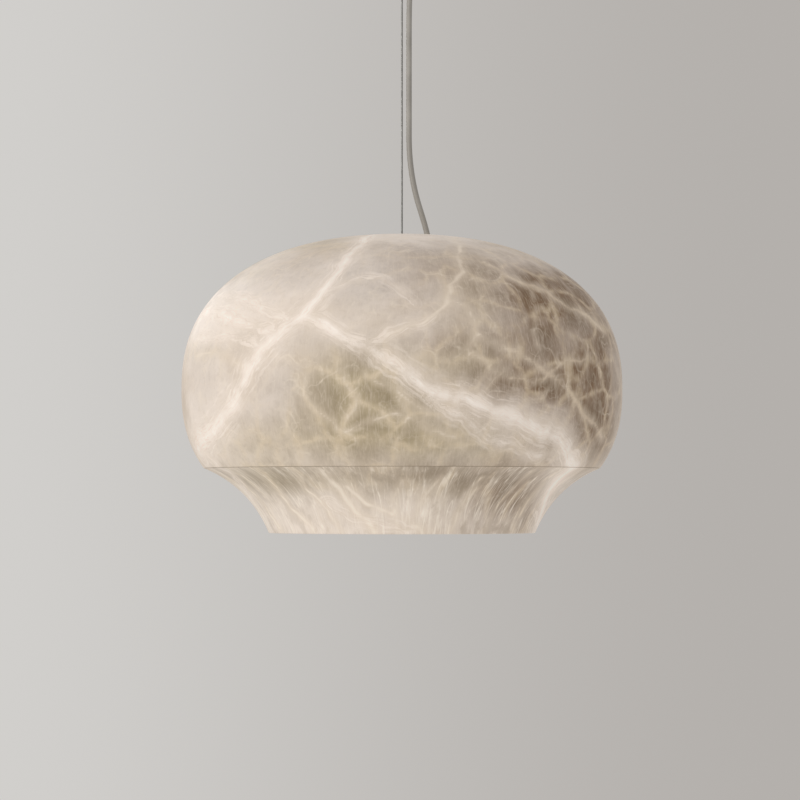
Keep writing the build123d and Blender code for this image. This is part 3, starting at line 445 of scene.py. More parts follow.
def rounded(before, corner, after, radius, steps=4):
    """The arc of that radius that rounds a corner between two straight edges."""
    before, corner, after = (np.array(p, float) for p in (before, corner, after))
    u = (before - corner) / np.linalg.norm(before - corner)
    v = (after - corner) / np.linalg.norm(after - corner)
    half = np.arccos(np.clip(u @ v, -1, 1)) / 2
    middle = (u + v) / np.linalg.norm(u + v)
    centre = corner + middle * radius / np.sin(half)
    a, b = corner + u * radius / np.tan(half), corner + v * radius / np.tan(half)
    s = np.linspace(0, 1, steps)[:, None]
    chord = a + (b - a) * s - centre
    return centre + radius * chord / np.linalg.norm(chord, axis=1, keepdims=True)


print("the belly is", round(belly(BELLY_DROP), 4), "m in radius where the stones meet")

# %% Both profiles
depths = np.linspace(BELLY_DROP, 0, BELLY_ROWS)[:-1]
inner_radius = SHADE_RADIUS - STONE_WALL
inner_rise = CROWN_RISE - STONE_WALL
inner_reach = BELLY_REACH - STONE_WALL
lip_inner = belly(BELLY_DROP, inner_radius, inner_reach)
lip_outer = lip_inner + LIP
ridge_radius = belly(BELLY_DROP)
outer = np.vstack([np.c_[belly(depths), WIDEST_Z - depths], crown(OPENING_RADIUS, CROWN_ROWS)])
inside_depths = np.linspace(BELLY_DROP - LIP, 0, INNER_BELLY_ROWS)[:-1]
inside = np.vstack([
    np.c_[belly(inside_depths, inner_radius, inner_reach), WIDEST_Z - inside_depths],
    crown(SEAT_RADIUS, INNER_CROWN_ROWS, inner_radius, inner_rise),
])
seat_z = inside[-1, 1]
top = rounded(outer[-3], outer[-1], (OPENING_RADIUS, seat_z), OPENING_ROUND)
body = outer[outer[:, 0] > OPENING_RADIUS + OPENING_ROUND]
shelf = [(lip_outer + SEAM, RIDGE_Z + LIP), (lip_outer + SEAM, RIDGE_Z)]
upper_profile = np.vstack([body, top, [(OPENING_RADIUS, seat_z)], inside[::-1], shelf])

skirt_top_z = RIDGE_Z - SEAM
skirt_top_radius = ridge_radius - SKIRT_SETBACK
inner_rim_radius = RIM_RADIUS - STONE_WALL
flare = hollow_arc((skirt_top_radius, skirt_top_z), (RIM_RADIUS, RIM_Z), SKIRT_HOLLOW, FLARE_ROWS)
under = hollow_arc((lip_inner, skirt_top_z), (inner_rim_radius, RIM_Z), SKIRT_HOLLOW, INNER_FLARE_ROWS)
low_out = rounded(flare[-2], flare[-1], under[-1], RIM_ROUND)
low_in = rounded(flare[-1], under[-1], under[-2], RIM_ROUND)
lip = [(lip_inner, RIDGE_Z + LIP), (lip_outer, RIDGE_Z + LIP), (lip_outer, skirt_top_z)]
skirt_profile = np.vstack([flare[:-1], low_out, low_in, under[:-1][::-1], lip])
print("profile points", len(upper_profile), len(skirt_profile), "seat", round(float(seat_z), 5))

# %% [markdown]
# ## The stone's pattern
#
# Alabaster is cut from one block, so its veins cross the turned surface as they happen to lie. Their
# routes are noted as points in the picture (column, row), and a ray from the camera finds where each lies
# on the stone. Every vertex then stores how far it is from the nearest vein, measured in that vein's half
# width, plus the vein's faintness. The material turns that number into a soft white band, and noise frays
# its edges. Between the veins lie soft patches of olive, brown, pale and grey stone, which are noted in
# the same way.

# %% From the picture to the stone
def sight(column, row):
    """The directions in which the camera sees these places in the picture: across, up and forward, with
    the camera's tilt turned into height."""
    right = (np.asarray(column, float) - PICTURE / 2) / FOCAL
    up = (PICTURE / 2 - np.asarray(row, float)) / FOCAL
    return np.stack([right, cos(TILT) - up * sin(TILT), sin(TILT) + up * cos(TILT)], axis=-1)


NEAREST, FARTHEST = 2.83, 3.08  # metres along a ray, between which the stone's front lies
RAY_STEP = 0.0005
outline_z = np.r_[flare[::-1, 1], body[:, 1]]
outline_r = np.r_[flare[::-1, 0], body[:, 0]]
order = np.argsort(outline_z)
outline_z, outline_r = outline_z[order], outline_r[order]


def on_stone(places):
    """Where the camera's rays through these (column, row) places first meet the stone. Each ray is
    sampled every half millimetre, and the first sample nearer the axis than the outline is at that height
    counts. A ray that just misses takes the sample that comes closest."""
    column, row = np.asarray(places, float).T
    steps = np.arange(NEAREST, FARTHEST, RAY_STEP)
    ray = CAMERA_AT + steps[:, None, None] * sight(column, row)
    gap = np.hypot(ray[..., 0], ray[..., 1]) - np.interp(ray[..., 2], outline_z, outline_r)
    hit = np.where((gap < 0).any(axis=0), (gap < 0).argmax(axis=0), gap.argmin(axis=0))
    return ray[hit, np.arange(len(column))]


print("the middle of the picture meets the stone at", on_stone([(400, 400)])[0].round(4))

# %% The routes of the veins
# Each vein: half width in millimetres where it starts and ends, how faint it is there, and its route
BROAD = [
    (3.0, 5.0, 0.5, 0.0,
     [(373, 235), (357, 249), (337, 272), (323, 292), (312, 306), (296, 321), (273, 338)]),
    (5.0, 6.0, 0.0, 0.2, [(273, 338), (251, 362), (242, 382), (233, 405), (213, 432), (198, 448)]),
    (4.0, 3.0, 0.4, 0.3, [(300, 318), (317, 321), (337, 331), (357, 342), (370, 349)]),
    (3.0, 5.5, 0.3, 0.0, [(370, 349), (384, 359), (403, 372), (423, 385), (437, 392), (457, 399)]),
    (5.0, 6.0, 0.0, 0.0,
     [(457, 399), (480, 404), (504, 413), (530, 426), (553, 436), (567, 451), (574, 467)]),
    (3.0, 3.5, 0.8, 1.1, [(423, 391), (447, 411), (470, 425), (490, 438), (516, 447), (540, 456)]),
    (3.5, 3.0, 1.0, 1.9, [(373, 235), (400, 236), (430, 237)]),
    (6.0, 6.0, 0.1, 0.3, [(574, 467), (556, 480), (543, 500), (537, 526)]),
    (3.0, 4.0, 0.4, 0.7, [(280, 334), (250, 326), (224, 318), (203, 312)]),
    (3.0, 4.0, 0.7, 1.2, [(290, 326), (262, 309), (236, 300), (212, 296)]),
    (3.0, 3.5, 0.7, 1.4, [(262, 346), (238, 338), (216, 336), (198, 340)]),
    (3.0, 2.5, 1.2, 1.6, [(365, 343), (386, 337), (410, 327), (433, 316)]),
    (3.0, 3.0, 1.3, 1.6, [(324, 292), (352, 282), (378, 276), (396, 284), (410, 300)]),
    (3.5, 4.0, 1.2, 1.2, [(198, 448), (214, 460), (232, 474), (252, 500)]),
    (4.0, 3.0, 1.0, 1.4, [(330, 505), (352, 516), (380, 524), (408, 530)]),
]
THIN = [
    (1.6, 2.2, 0.2, 0.2, [(455, 238), (460, 255), (460, 272), (453, 288), (446, 302)]),
    (1.8, 1.6, 0.2, 1.0, [(446, 302), (433, 316), (410, 328), (386, 338)]),
    (1.4, 2.0, 0.3, 0.1, [(480, 334), (500, 345), (520, 355), (537, 365), (548, 372)]),
    (2.0, 1.4, 0.1, 0.6, [(548, 372), (563, 386), (577, 405), (590, 422), (602, 438)]),
    (1.6, 2.4, 0.5, 0.5, [(506, 275), (522, 282), (538, 289), (554, 298), (577, 312), (602, 328)]),
    (1.4, 1.4, 0.3, 0.7, [(548, 372), (567, 363), (588, 357)]),
    (1.3, 1.4, 0.6, 0.1, [(503, 371), (516, 382), (534, 382), (548, 372)]),
    (1.2, 1.0, 0.4, 1.2, [(503, 371), (491, 381), (488, 393)]),
    (1.2, 1.2, 0.5, 1.0, [(503, 371), (487, 366), (478, 358), (464, 352)]),
    (1.0, 1.1, 0.8, 1.0, [(516, 382), (514, 393), (524, 402), (541, 399), (549, 385)]),
    (1.3, 1.0, 0.4, 1.2, [(480, 334), (470, 344), (466, 358)]),
    (1.0, 1.2, 1.0, 1.2, [(531, 292), (535, 312), (532, 330), (540, 344), (537, 365)]),
    (1.0, 1.0, 1.0, 1.4, [(572, 362), (577, 348), (570, 334)]),
    (1.4, 1.0, 0.6, 1.4, [(480, 334), (474, 318), (462, 306), (446, 302)]),
    (1.2, 1.6, 0.5, 0.7, [(343, 373), (353, 390), (357, 404), (344, 416)]),
    (1.1, 1.3, 0.8, 0.8, [(306, 380), (304, 397), (318, 414), (340, 430)]),
    (1.1, 1.4, 0.6, 0.8, [(366, 372), (384, 384), (403, 398), (424, 412)]),
    (1.2, 1.2, 0.4, 0.6, [(344, 430), (357, 424), (372, 418), (397, 416), (418, 421)]),
    (1.1, 1.0, 0.7, 1.2, [(397, 400), (404, 416), (406, 430), (398, 444)]),
    (1.2, 1.6, 0.6, 1.0, [(418, 421), (446, 434), (468, 448)]),
    (1.4, 1.4, 0.6, 1.0, [(196, 356), (206, 351), (222, 353), (245, 366)]),
    (1.3, 1.6, 1.2, 1.2, [(216, 284), (242, 270), (270, 255), (300, 243), (322, 240)]),
    (2.2, 1.8, 0.2, 0.2, [(322, 468), (334, 484), (348, 502), (362, 518), (374, 532)]),
    (1.6, 1.6, 0.2, 0.2, [(348, 488), (366, 502), (388, 514), (410, 524), (424, 532)]),
    (1.3, 1.9, 0.6, 0.2, [(402, 480), (393, 497), (391, 512), (398, 530)]),
    (1.2, 1.4, 0.6, 0.3, [(262, 474), (280, 494), (296, 512), (312, 530)]),
    (1.2, 1.3, 0.4, 0.4, [(232, 474), (252, 492), (268, 512), (282, 530)]),
    (1.1, 1.3, 0.7, 0.4, [(292, 470), (306, 486), (322, 504), (340, 530)]),
    (1.2, 1.2, 0.6, 0.5, [(442, 476), (426, 494), (414, 510), (406, 530)]),
    (1.1, 1.2, 0.7, 0.6, [(484, 478), (466, 498), (454, 518), (450, 530)]),
    (1.2, 1.2, 0.6, 0.6, [(532, 472), (512, 490), (496, 510), (484, 530)]),
    (1.2, 1.4, 0.5, 0.5, [(556, 472), (536, 492), (522, 512), (512, 530)]),
]
print(len(BROAD), "broad veins and", len(THIN), "thin ones")

# %% The distance to the nearest vein
UNVEINED = 8.0  # the largest distance stored, in half widths
VEIN_GAP = 0.1


def eased(points, rounds=2):
    """The same route with its corners cut, a quarter of the way along each run, again and again."""
    for _ in range(rounds):
        a, b = points[:-1], points[1:]
        cut = np.stack([a * 0.75 + b * 0.25, a * 0.25 + b * 0.75], axis=1).reshape(-1, points.shape[1])
        points = np.vstack([points[:1], cut, points[-1:]])
    return points


def nearest(points, veins):
    """For every point, the least distance to any of these veins divided by the vein's half width there,
    with its faintness added. A run of a vein is a straight piece between two of its points, and the
    nearest point of it is where the perpendicular falls, kept between the run's two ends. Also how far
    along its vein that point is, and how far to the side of it the first one lies, both in metres. Each
    vein counts its length from a start of its own, so that no two of them are frayed alike."""
    least = np.full(len(points), UNVEINED)
    along, aside = np.zeros(len(points)), np.zeros(len(points))
    outward = points - (0, 0, WIDEST_Z)
    for first, last, faint_first, faint_last, places in veins:
        route = eased(on_stone(places))
        wide = np.linspace(first, last, len(route)) * MM
        faint = np.linspace(faint_first, faint_last, len(route))
        passed = VEIN_GAP * len(places) * first
        for a, b, w, f in zip(route[:-1], route[1:], wide, faint):
            run = b - a
            share = np.clip((points - a) @ run / (run @ run), 0, 1)[:, None]
            off = points - a - share * run
            distance = np.linalg.norm(off, axis=1)
            closer = distance / w + f < least
            least = np.where(closer, distance / w + f, least)
            along = np.where(closer, passed + share[:, 0] * np.linalg.norm(run), along)
            side = np.sign(np.einsum("ij,ij->i", np.cross(run, off), outward))
            aside = np.where(closer, side * distance, aside)
            passed += np.linalg.norm(run)
    return least, along, aside


print("distances go up to", UNVEINED, "half widths")

# %% The soft patches
# Each patch: centre and half sizes in the picture, and how strong it is
OLIVE = [
    (390, 398, 58, 36, 0.8), (350, 395, 40, 34, 0.6), (430, 446, 90, 22, 0.8), (470, 370, 40, 26, 0.5),
    (270, 490, 34, 26, 0.6), (320, 440, 60, 26, 0.45), (250, 448, 44, 20, 0.45), (440, 482, 60, 16, 0.5),
    (300, 246, 50, 12, 0.6), (250, 272, 30, 14, 0.35), (330, 484, 60, 12, 0.5), (262, 478, 40, 10, 0.4),
    (214, 356, 20, 12, 0.4), (470, 300, 30, 40, 0.3),
]
BROWN = [
    (538, 308, 48, 28, 1.0), (580, 385, 36, 50, 0.85), (518, 390, 50, 26, 0.9), (520, 348, 44, 24, 0.6),
    (596, 340, 20, 50, 0.45), (500, 500, 46, 26, 0.5), (560, 290, 44, 26, 0.5), (592, 430, 22, 40, 0.55),
    (424, 290, 44, 40, 0.25), (480, 275, 50, 26, 0.3), (540, 446, 40, 8, 0.3), (440, 352, 30, 12, 0.3),
    (520, 496, 40, 34, 0.4), (430, 476, 60, 12, 0.4),
]
PALE = [
    (235, 310, 46, 50, 0.5), (212, 400, 26, 60, 0.6), (300, 330, 70, 26, 0.5), (240, 250, 60, 22, 0.3),
    (380, 310, 60, 20, 0.3), (370, 516, 90, 24, 1.1), (210, 448, 30, 20, 0.6), (556, 488, 16, 30, 0.6),
    (400, 245, 80, 8, 0.5), (300, 510, 60, 24, 0.7), (250, 500, 30, 40, 0.6),
]
GREY = [
    (372, 300, 44, 24, 0.8), (250, 296, 40, 14, 0.5), (300, 280, 40, 20, 0.4), (330, 350, 60, 14, 0.4),
    (212, 382, 16, 30, 0.5), (420, 262, 50, 20, 0.4), (290, 400, 30, 30, 0.5), (232, 420, 30, 20, 0.3),
]


def clouded(points, patches):
    """The sum of soft patches: each is the bell curve exp(-(across^2 + up^2)) in its own half sizes, seen
    from the camera's side."""
    total = np.zeros(len(points))
    away = -CAMERA_AT[1]
    size = away / FOCAL  # of one pixel at the lamp's axis
    for column, row, wide, tall, strength in patches:
        x, _, z = CAMERA_AT + sight(column, row) * away
        across, up = (points[:, 0] - x) / (wide * size), (points[:, 2] - z) / (tall * size)
        total += strength * np.exp(-(across**2) - up**2)
    return np.clip(total, 0, 1)


print(len(OLIVE + BROWN + PALE + GREY), "soft patches")


# %% Both stones, with the pattern stored on them
def waved(points, reach, length, seed):
    """Points moved by crossing sine waves, so that no vein runs straight."""
    k = 2 * pi / length
    x, y, z = points.T
    return points + reach * np.c_[
        np.sin(k * (0.9 * z + 0.5 * y) + seed), np.sin(k * (0.8 * x - 0.7 * z) + 2 * seed),
        np.sin(k * (0.7 * x + 0.6 * y) + 3 * seed)
    ]


WAVES = ((0.0020, 0.050, 1.0), (0.0008, 0.017, 2.0))  # reach, length and seed
FRONT_FADE = 0.16  # metres from front to back over which the patches change sides


def marbled(piece):
    """Stores the pattern's fields on the mesh. The side away from the camera has the same family of
    veins, turned half round, and the soft patches of both sides are mixed where the sides meet. `way` is
    the place along and beside the nearest broad vein, with a third number that tells front from back."""
    mesh = piece.data
    points = points_of(mesh)
    for wave in WAVES:
        points = waved(points, *wave)
    turned_points = points * (-1, -1, 1)
    front = np.clip(0.5 - points[:, 1] / FRONT_FADE, 0, 1)
    front = front * front * (3 - 2 * front)
    fields = {}
    near, far = nearest(points, BROAD), nearest(turned_points, BROAD)
    nearer = near[0] < far[0]
    fields["broad"] = np.minimum(near[0], far[0])
    fields["thin"] = np.minimum(nearest(points, THIN)[0], nearest(turned_points, THIN)[0])
    for name, patches in (("olive", OLIVE), ("brown", BROWN), ("pale", PALE), ("grey", GREY)):
        fields[name] = front * clouded(points, patches) + (1 - front) * clouded(turned_points, patches)
    for name, values in fields.items():
        mesh.attributes.new(name, "FLOAT", "POINT").data.foreach_set("value", values.astype(np.float32))
    way = np.c_[np.where(nearer, near[1], far[1]), np.where(nearer, near[2], far[2]), VEIN_GAP * nearer]
    vectors = mesh.attributes.new("way", "FLOAT_VECTOR", "POINT")
    vectors.data.foreach_set("vector", way.astype(np.float32).ravel())


AROUND = 480
upper_stone = turned("upper_stone", upper_profile, AROUND)
lower_stone = turned("lower_stone", skirt_profile, AROUND)
for stone, node in ((upper_stone, "shade_dome"), (lower_stone, "shade_skirt")):
    marbled(stone)
    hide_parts(node)
    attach(stone, "shade")
    litres = round(enclosed(stone) * 1000, 3)
    print(stone.name, len(stone.data.vertices), "vertices, volume in litres", litres)

# %% [markdown]
# ## The stone's material
#
# Light soaks into alabaster and comes back out from below its surface, so it looks the same whichever way
# the surface faces. A share of the colour is therefore also painted on as a faint glow, which stands in for
# that light and fills the shaded side. The colour starts as a clouded grey cream, is toned by the soft
# patches, netted by Voronoi walls and frayed fibres, and ends with the white veins on top.

# %% Tones and thin lines
# The stone's emission is a painted glow: this share of its own colour is given off everywhere to lift the
# shaded side.
PAINTED_GLOW = 0.34
TONES = {
    "ground": (196, 181, 165), "cloud": (219, 206, 194),
    "grey": (178, 168, 160), "olive": (168, 153, 126), "brown": (122, 97, 73), "pale": (231, 219, 208),
    "cell": (94, 78, 58), "wall": (219, 200, 172), "fibre": (226, 212, 194), "hair": (222, 208, 190),
    "grain": (120, 104, 84), "blotch": (128, 112, 88), "streak": (243, 232, 217),
    "halo": (219, 205, 191), "thin halo": (214, 198, 178), "thin": (234, 221, 205),
    "tanned": (211, 189, 161), "tuft": (238, 225, 213), "core": (249, 239, 230), "fibre_shade": (190, 172, 152),
}


def strands(place, scale, width, shake=0.01):
    """Thin lines that wander through the stone: where a cloudy noise crosses its middle value."""
    level = place.shaken(scale * 0.8, shake).noise(scale, 2, 0.55) - 0.5
    return level.math("ABSOLUTE").rise(width, 0.0)


print(len(TONES), "tones for the stone")


# %% Alabaster
def alabaster(name, flared):
    """flared draws the fine patterns out down the stone: they are then made mostly from the direction
    round the axis, and from a share of the place itself."""
    stone = Material(name)
    place = stone.start

    def tone(key):
        return stone.colour(*TONES[key])

    fields = {key: stone.attribute(key) for key in ("broad", "thin", "olive", "brown", "pale", "grey")}
    way = stone.attribute("way", "Vector")
    level = place.stretched(1, 1, 0)
    round_axis = level.node("ShaderNodeVectorMath", inputs={0: level}, operation="NORMALIZE")
    meridians = round_axis.stretched(0.19, 0.19, 0).vector("ADD", place.stretched(0.09, 0.09, 0.16))
    drawn = place
    if flared:
        drawn = round_axis.stretched(0.11, 0.11, 0).vector("ADD", place.stretched(0.35, 0.35, 0.6))
    clouds = place.noise(11, 4, 0.55)
    wisps = drawn.shaken(14, 0.010).noise(46, 5, 0.62)
    grain = drawn.shaken(40, 0.004).noise(170, 3, 0.65)
    hair = strands(meridians, 150, 0.04, 0.003) * 0.6 + strands(meridians, 290, 0.06, 0.002) * 0.5
    patched = (fields["olive"] + fields["brown"]).capped()
    calm = 1.0 - (0.4 if flared else 0.7) * fields["pale"]

    # The ground: clouds, then the soft grey, olive, brown and pale patches
    base = tone("ground").mix(tone("cloud"), clouds.rise(0.36, 0.64))
    base = base.mix(tone("grey"), (fields["grey"] * (0.4 + 1.0 * wisps)).capped())
    base = base.mix(tone("olive"), (fields["olive"] * (0.6 + 0.8 * wisps)).capped())
    base = base.mix(tone("brown"), (fields["brown"] * (0.55 + 0.8 * wisps)).capped())
    base = base.mix(tone("pale"), fields["pale"] * (0.3 + 0.7 * clouds))

    # The net: cells that are a little darker inside, with soft pale walls between them
    net = drawn.shaken(20, 0.013).shaken(60, 0.004).walls(25)
    inside = net.rise(0.03, 0.40) * (0.15 + 0.85 * patched) * calm
    base = base.mix(base.mix(tone("cell"), 0.5), inside * (0.45 + 0.6 * wisps))
    walls = net.rise(0.12, 0.0) * wisps.rise(0.34, 0.60) * (0.2 + 0.8 * patched) * calm
    base = base.mix(tone("wall"), (walls * 0.50).capped())

    # The fibres, and on the flared stone its blotches and streaks
    fibres = strands(drawn, 20, 0.020) + strands(drawn, 44, 0.028, 0.006) * 0.7
    base = base.mix(tone("fibre"), (fibres * wisps.rise(0.35, 0.7) * 0.30).capped(0.8))
    base = base.mix(tone("hair"), hair * (0.15 + 0.09 * patched))
    base = base.mix(base.mix(tone("grain"), 0.35), grain.rise(0.54, 0.32) * (0.22 + 0.18 * patched))
    if flared:
        streak = strands(meridians, 60, 0.03, 0.008) + strands(meridians, 140, 0.05, 0.005) * 0.6
        base = base.mix(base.mix(tone("blotch"), 0.5), wisps.rise(0.5, 0.36) * 0.6 * calm)
        base = base.mix(tone("streak"), (streak * wisps.rise(0.36, 0.60) * 0.42).capped(0.8))

    # The veins, combed along their own way
    combed = way.shaken(34, 0.007).stretched(26, 210, 1).noise(1.0, 4, 0.65)
    hairs = way.shaken(60, 0.004).stretched(50, 620, 1).noise(1.0, 2, 0.6)
    frayed = fields["broad"] + 4.5 * (combed - 0.5) + 4.5 * (wisps - 0.5) + 1.2 * (hairs - 0.5)
    halo = frayed.rise(5.2, 0.2) * 0.62
    core = frayed.rise(2.1, -0.9) * (0.45 + 0.6 * wisps)
    tufts = combed.rise(0.48, 0.64) * fields["broad"].rise(6.0, 0.8) * 0.6
    # Painted shade: a darker tone laid between the fibres inside each broad vein.
    painted_fibre_shade = hairs.rise(0.5, 0.3) * fields["broad"].rise(5.0, 1.0) * 0.5
    thin = (fields["thin"] + 2.2 * (wisps - 0.5) + 1.6 * (grain - 0.5)).rise(2.4, 0.0)
    thin_halo = (fields["thin"] + 4.0 * (wisps - 0.5)).rise(7.0, 0.6) * 0.34
    base = base.mix(tone("halo"), halo)
    base = base.mix(tone("thin halo"), thin_halo)
    tanned = tone("thin").mix(tone("tanned"), fields["brown"] * 0.75)
    base = base.mix(tanned, thin * (0.85 if flared else 0.62))
    base = base.mix(tone("tuft"), tufts)
    base = base.mix(tone("core"), core.capped())
    base = base.mix(base.mix(tone("fibre_shade"), 0.6), painted_fibre_shade)
    # The emission here is painted glow, not a lamp: the stone's colour given off at a fixed share.
    return stone.surface(
        height=grain, depth=0.0002, Base_Color=base, Roughness=wisps.rise(0.2, 0.8) * 0.18 + 0.36,
        Emission_Color=base, Emission_Strength=PAINTED_GLOW, IOR=1.52, Specular_IOR_Level=0.25,
    )


dress(upper_stone, alabaster("alabaster_turned", False))
dress(lower_stone, alabaster("alabaster_flared", True))
print("the stone glows with", PAINTED_GLOW, "of its colour")

# %% [markdown]
# ## The studio
#
# One broad soft light stands to the left and in front, above the shade, and a weaker one behind it. The
# room is bright all round, so that shadows stay pale. Where the camera looks past the lamp it sees the
# wall of the room, and its tone falls off towards the right as it does in the photograph. Everything else
# is lit by a plain even level.


# %% Two soft lights
def area_light(name, place, aim, size, power, colour):
    """A round lamp of that size in metres and power in watts, turned towards aim."""
    data = bpy.data.lights.new(name, "AREA")
    data.shape = "DISK"
    data.size = size
    data.energy = power
    data.color = colour
    lamp = bpy.data.objects.new(name, data)
    lamp.location = place
    aim = np.array(aim, float) - place
    lamp.rotation_euler = (pi / 2 + atan(aim[2] / np.hypot(aim[0], aim[1])), 0, np.arctan2(-aim[0], aim[1]))
    bpy.context.collection.objects.link(lamp)


area_light("window_light", (-2.4, -2.2, 0.3), (0, 0, -0.55), size=2.0, power=37, colour=(1.0, 0.985, 0.965))
area_light("back_light", (-1.6, 2.4, 0.6), (0, 0, -0.5), size=1.6, power=11, colour=(1.0, 0.99, 0.98))
print("two soft lights stand round the lamp")

# %% The wall
WALL_LEFT = (209, 207, 204)
WALL_RIGHT = (180, 176, 172)
AMBIENT = 0.46
EDGE_OF_VIEW = 0.133  # sideways part of the direction to the picture's edge
FALL = 0.72  # below 1, the wall darkens sooner

world = bpy.data.worlds.new("room")
bpy.context.scene.world = world
world.use_nodes = True
tree = world.node_tree
tree.nodes.clear()
rays = Value(tree, tree.nodes.new("ShaderNodeLightPath").outputs["Is Camera Ray"])
direction = Value(tree, tree.nodes.new("ShaderNodeTexCoord").outputs["Generated"])
sideways = direction.node("ShaderNodeSeparateXYZ", inputs={"Vector": direction})
left = constant(tree, light_colour(*WALL_LEFT))
right = constant(tree, light_colour(*WALL_RIGHT))
# The wall's fall from left to right is painted shade on the backdrop.
wall = left.mix(right, sideways.rise(-EDGE_OF_VIEW, EDGE_OF_VIEW) ** FALL)
seen = constant(tree, (AMBIENT, AMBIENT, AMBIENT, 1)).mix(wall, rays)
lit = seen.node("ShaderNodeBackground", inputs={"Color": seen, "Strength": 1.0})
tree.links.new(lit.socket, tree.nodes.new("ShaderNodeOutputWorld").inputs["Surface"])
print("the wall goes from", WALL_LEFT, "to", WALL_RIGHT)

# %% The floor
FLOOR_Z = -4.0
HALF_FLOOR = 9.0
floor_mesh = bpy.data.meshes.new("floor")
corners = [(x * HALF_FLOOR, y * HALF_FLOOR, FLOOR_Z) for x, y in ((-1, -1), (1, -1), (1, 1), (-1, 1))]
floor_mesh.from_pydata(corners, [], [(0, 1, 2, 3)])
floor = bpy.data.objects.new("floor", floor_mesh)
bpy.context.collection.objects.link(floor)
paint = Material("floor_paint")
speckle = paint.start.noise(40, 3, 0.5)
floor.data.materials.append(paint.surface(
    Base_Color=paint.colour(214, 212, 208).mix(paint.colour(222, 220, 216), speckle), Roughness=0.7,
    Emission_Color=paint.colour(206, 204, 200), Emission_Strength=0.35,
))
print("the floor lies at", FLOOR_Z)

# %% [markdown]
# ## The wire rope
#
# A thin steel rope is six strands laid round a core. Its outline at any height is a circle with six
# shallow lobes, and the whole outline turns once round in each lay length as it goes up. The same rope
# runs on through the gripper and over the strap, where its spare turns lie against the canopy's wall.

# %% Six strands
WIRE_END_Z = -0.3928
WIRE_ROWS = 560
LAY = 0.0125  # metres of rope in one full turn
GROOVE = 0.14  # share of the radius


def rope(name, length, top, rows, around=36):
    """A straight rope hanging from top. A point at the angle t and the height z has the radius
    R (1 - groove + groove |cos(3 (t - turn))|), where turn grows by a full circle in each lay length."""
    z = np.linspace(0, -length, rows)[:, None]
    t = np.linspace(0, 2 * pi, around, endpoint=False)[None, :]
    radius = WIRE_RADIUS * (1 - GROOVE + GROOVE * np.abs(np.cos(3 * (t - 2 * pi * z / LAY))))
    return skin(name, polar(radius, t, top + z)[::-1], wrap_v=True, caps=True, crease=60)


wire_length = MOUTH_Z - WIRE_END_Z
wire = rope("wire_rope", wire_length, MOUTH_Z, WIRE_ROWS)
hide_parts("suspension_wire")
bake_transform(wire)
print("rope", len(wire.data.vertices), "vertices, volume", round(enclosed(wire) * 1e9, 1), "mm3")

# %% [markdown]
# ## Spare turns in the canopy
#
# The lamp can be let down, so both lines have spare length in the canopy. Each goes round as a helix
# whose turns lie one on another. The NURBS curve runs just inside its control points, so those stand a
# little further out.


# %% A helix, and a tube along a route
def helix(radius, start, turns, z, pitch, steps=24):
    """Control points round the axis. start is an angle in degrees, and the turns go anticlockwise seen
    from above. The curve passes a control point at 3/4 of it and 1/8 of each of its neighbours, so these
    stand further out by that much."""
    t = radians(start) + np.linspace(0, 2 * pi * turns, int(steps * turns) + 1)
    far = radius / (0.75 + 0.25 * cos(2 * pi / steps))
    return polar(far, t, z + pitch * (t - t[0]) / (2 * pi))


def smooth_tube(name, points, radius, nodes, **facts):
    """A tube along the route, standing for its CAD nodes."""
    path = centre_line(points)
    tube = as_mesh(spline(name, points, radius, 5))
    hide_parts(*nodes)
    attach(tube, "ceiling_mount")
    print(name, round(length_of(path), 3), "m")
    return tube


print("coils can be laid")

# %% The flex's spare turns
FLEX_COIL_RADIUS = 0.047
FLEX_COIL_Z = -0.0357
FLEX_TURNS = 3 + 140 / 360
FLEX_CREST_Z = -0.012
flex_turns = helix(FLEX_COIL_RADIUS, 130, FLEX_TURNS, FLEX_COIL_Z, pitch=2.02 * CORD_RADIUS)
flex_entry = [
    (GRIP_X, 0, FLEX_TOP_Z + 0.0002),
    (GRIP_X, 0, -0.033),
    (0.0195, 0.0115, FLEX_CREST_Z),
    (0.0200, 0.0290, FLEX_CREST_Z),
    polar(0.0440, radians(88), -0.0225),
    polar(FLEX_COIL_RADIUS, radians(110), -0.0325),
]
flex_coil = smooth_tube(
    "flex_coil", np.vstack([flex_entry, flex_turns]), CORD_RADIUS, ("cord_entry", "cord_coil"),
    far_end="object", stiffness="medium", lay="coiled",
)

# %% The wire's spare turns
WIRE_COIL_RADIUS = 0.0578
WIRE_COIL_Z = -0.0140
WIRE_TURNS = 3
OVER_STRAP_Z = -0.002
wire_turns = helix(WIRE_COIL_RADIUS, 196, WIRE_TURNS, WIRE_COIL_Z, pitch=-2.04 * WIRE_RADIUS)
wire_over = [
    (0, 0, MOUTH_Z),
    (0, 0, -0.03),
    (0, 0, OVER_STRAP_Z),
    (-0.034, 0, OVER_STRAP_Z),
    polar(0.0565, pi, -0.0125),
]
wire_coil = smooth_tube(
    "wire_coil_rope", np.vstack([wire_over, wire_turns]), WIRE_RADIUS, ("wire_tail", "wire_coil"),
    far_end="bare", stiffness="stiff", lay="coiled",
)

# %% [markdown]
# ## The soft sleeve
#
# Rings are moulded round the sleeve that holds the flex where it comes out, and they let it bend evenly.

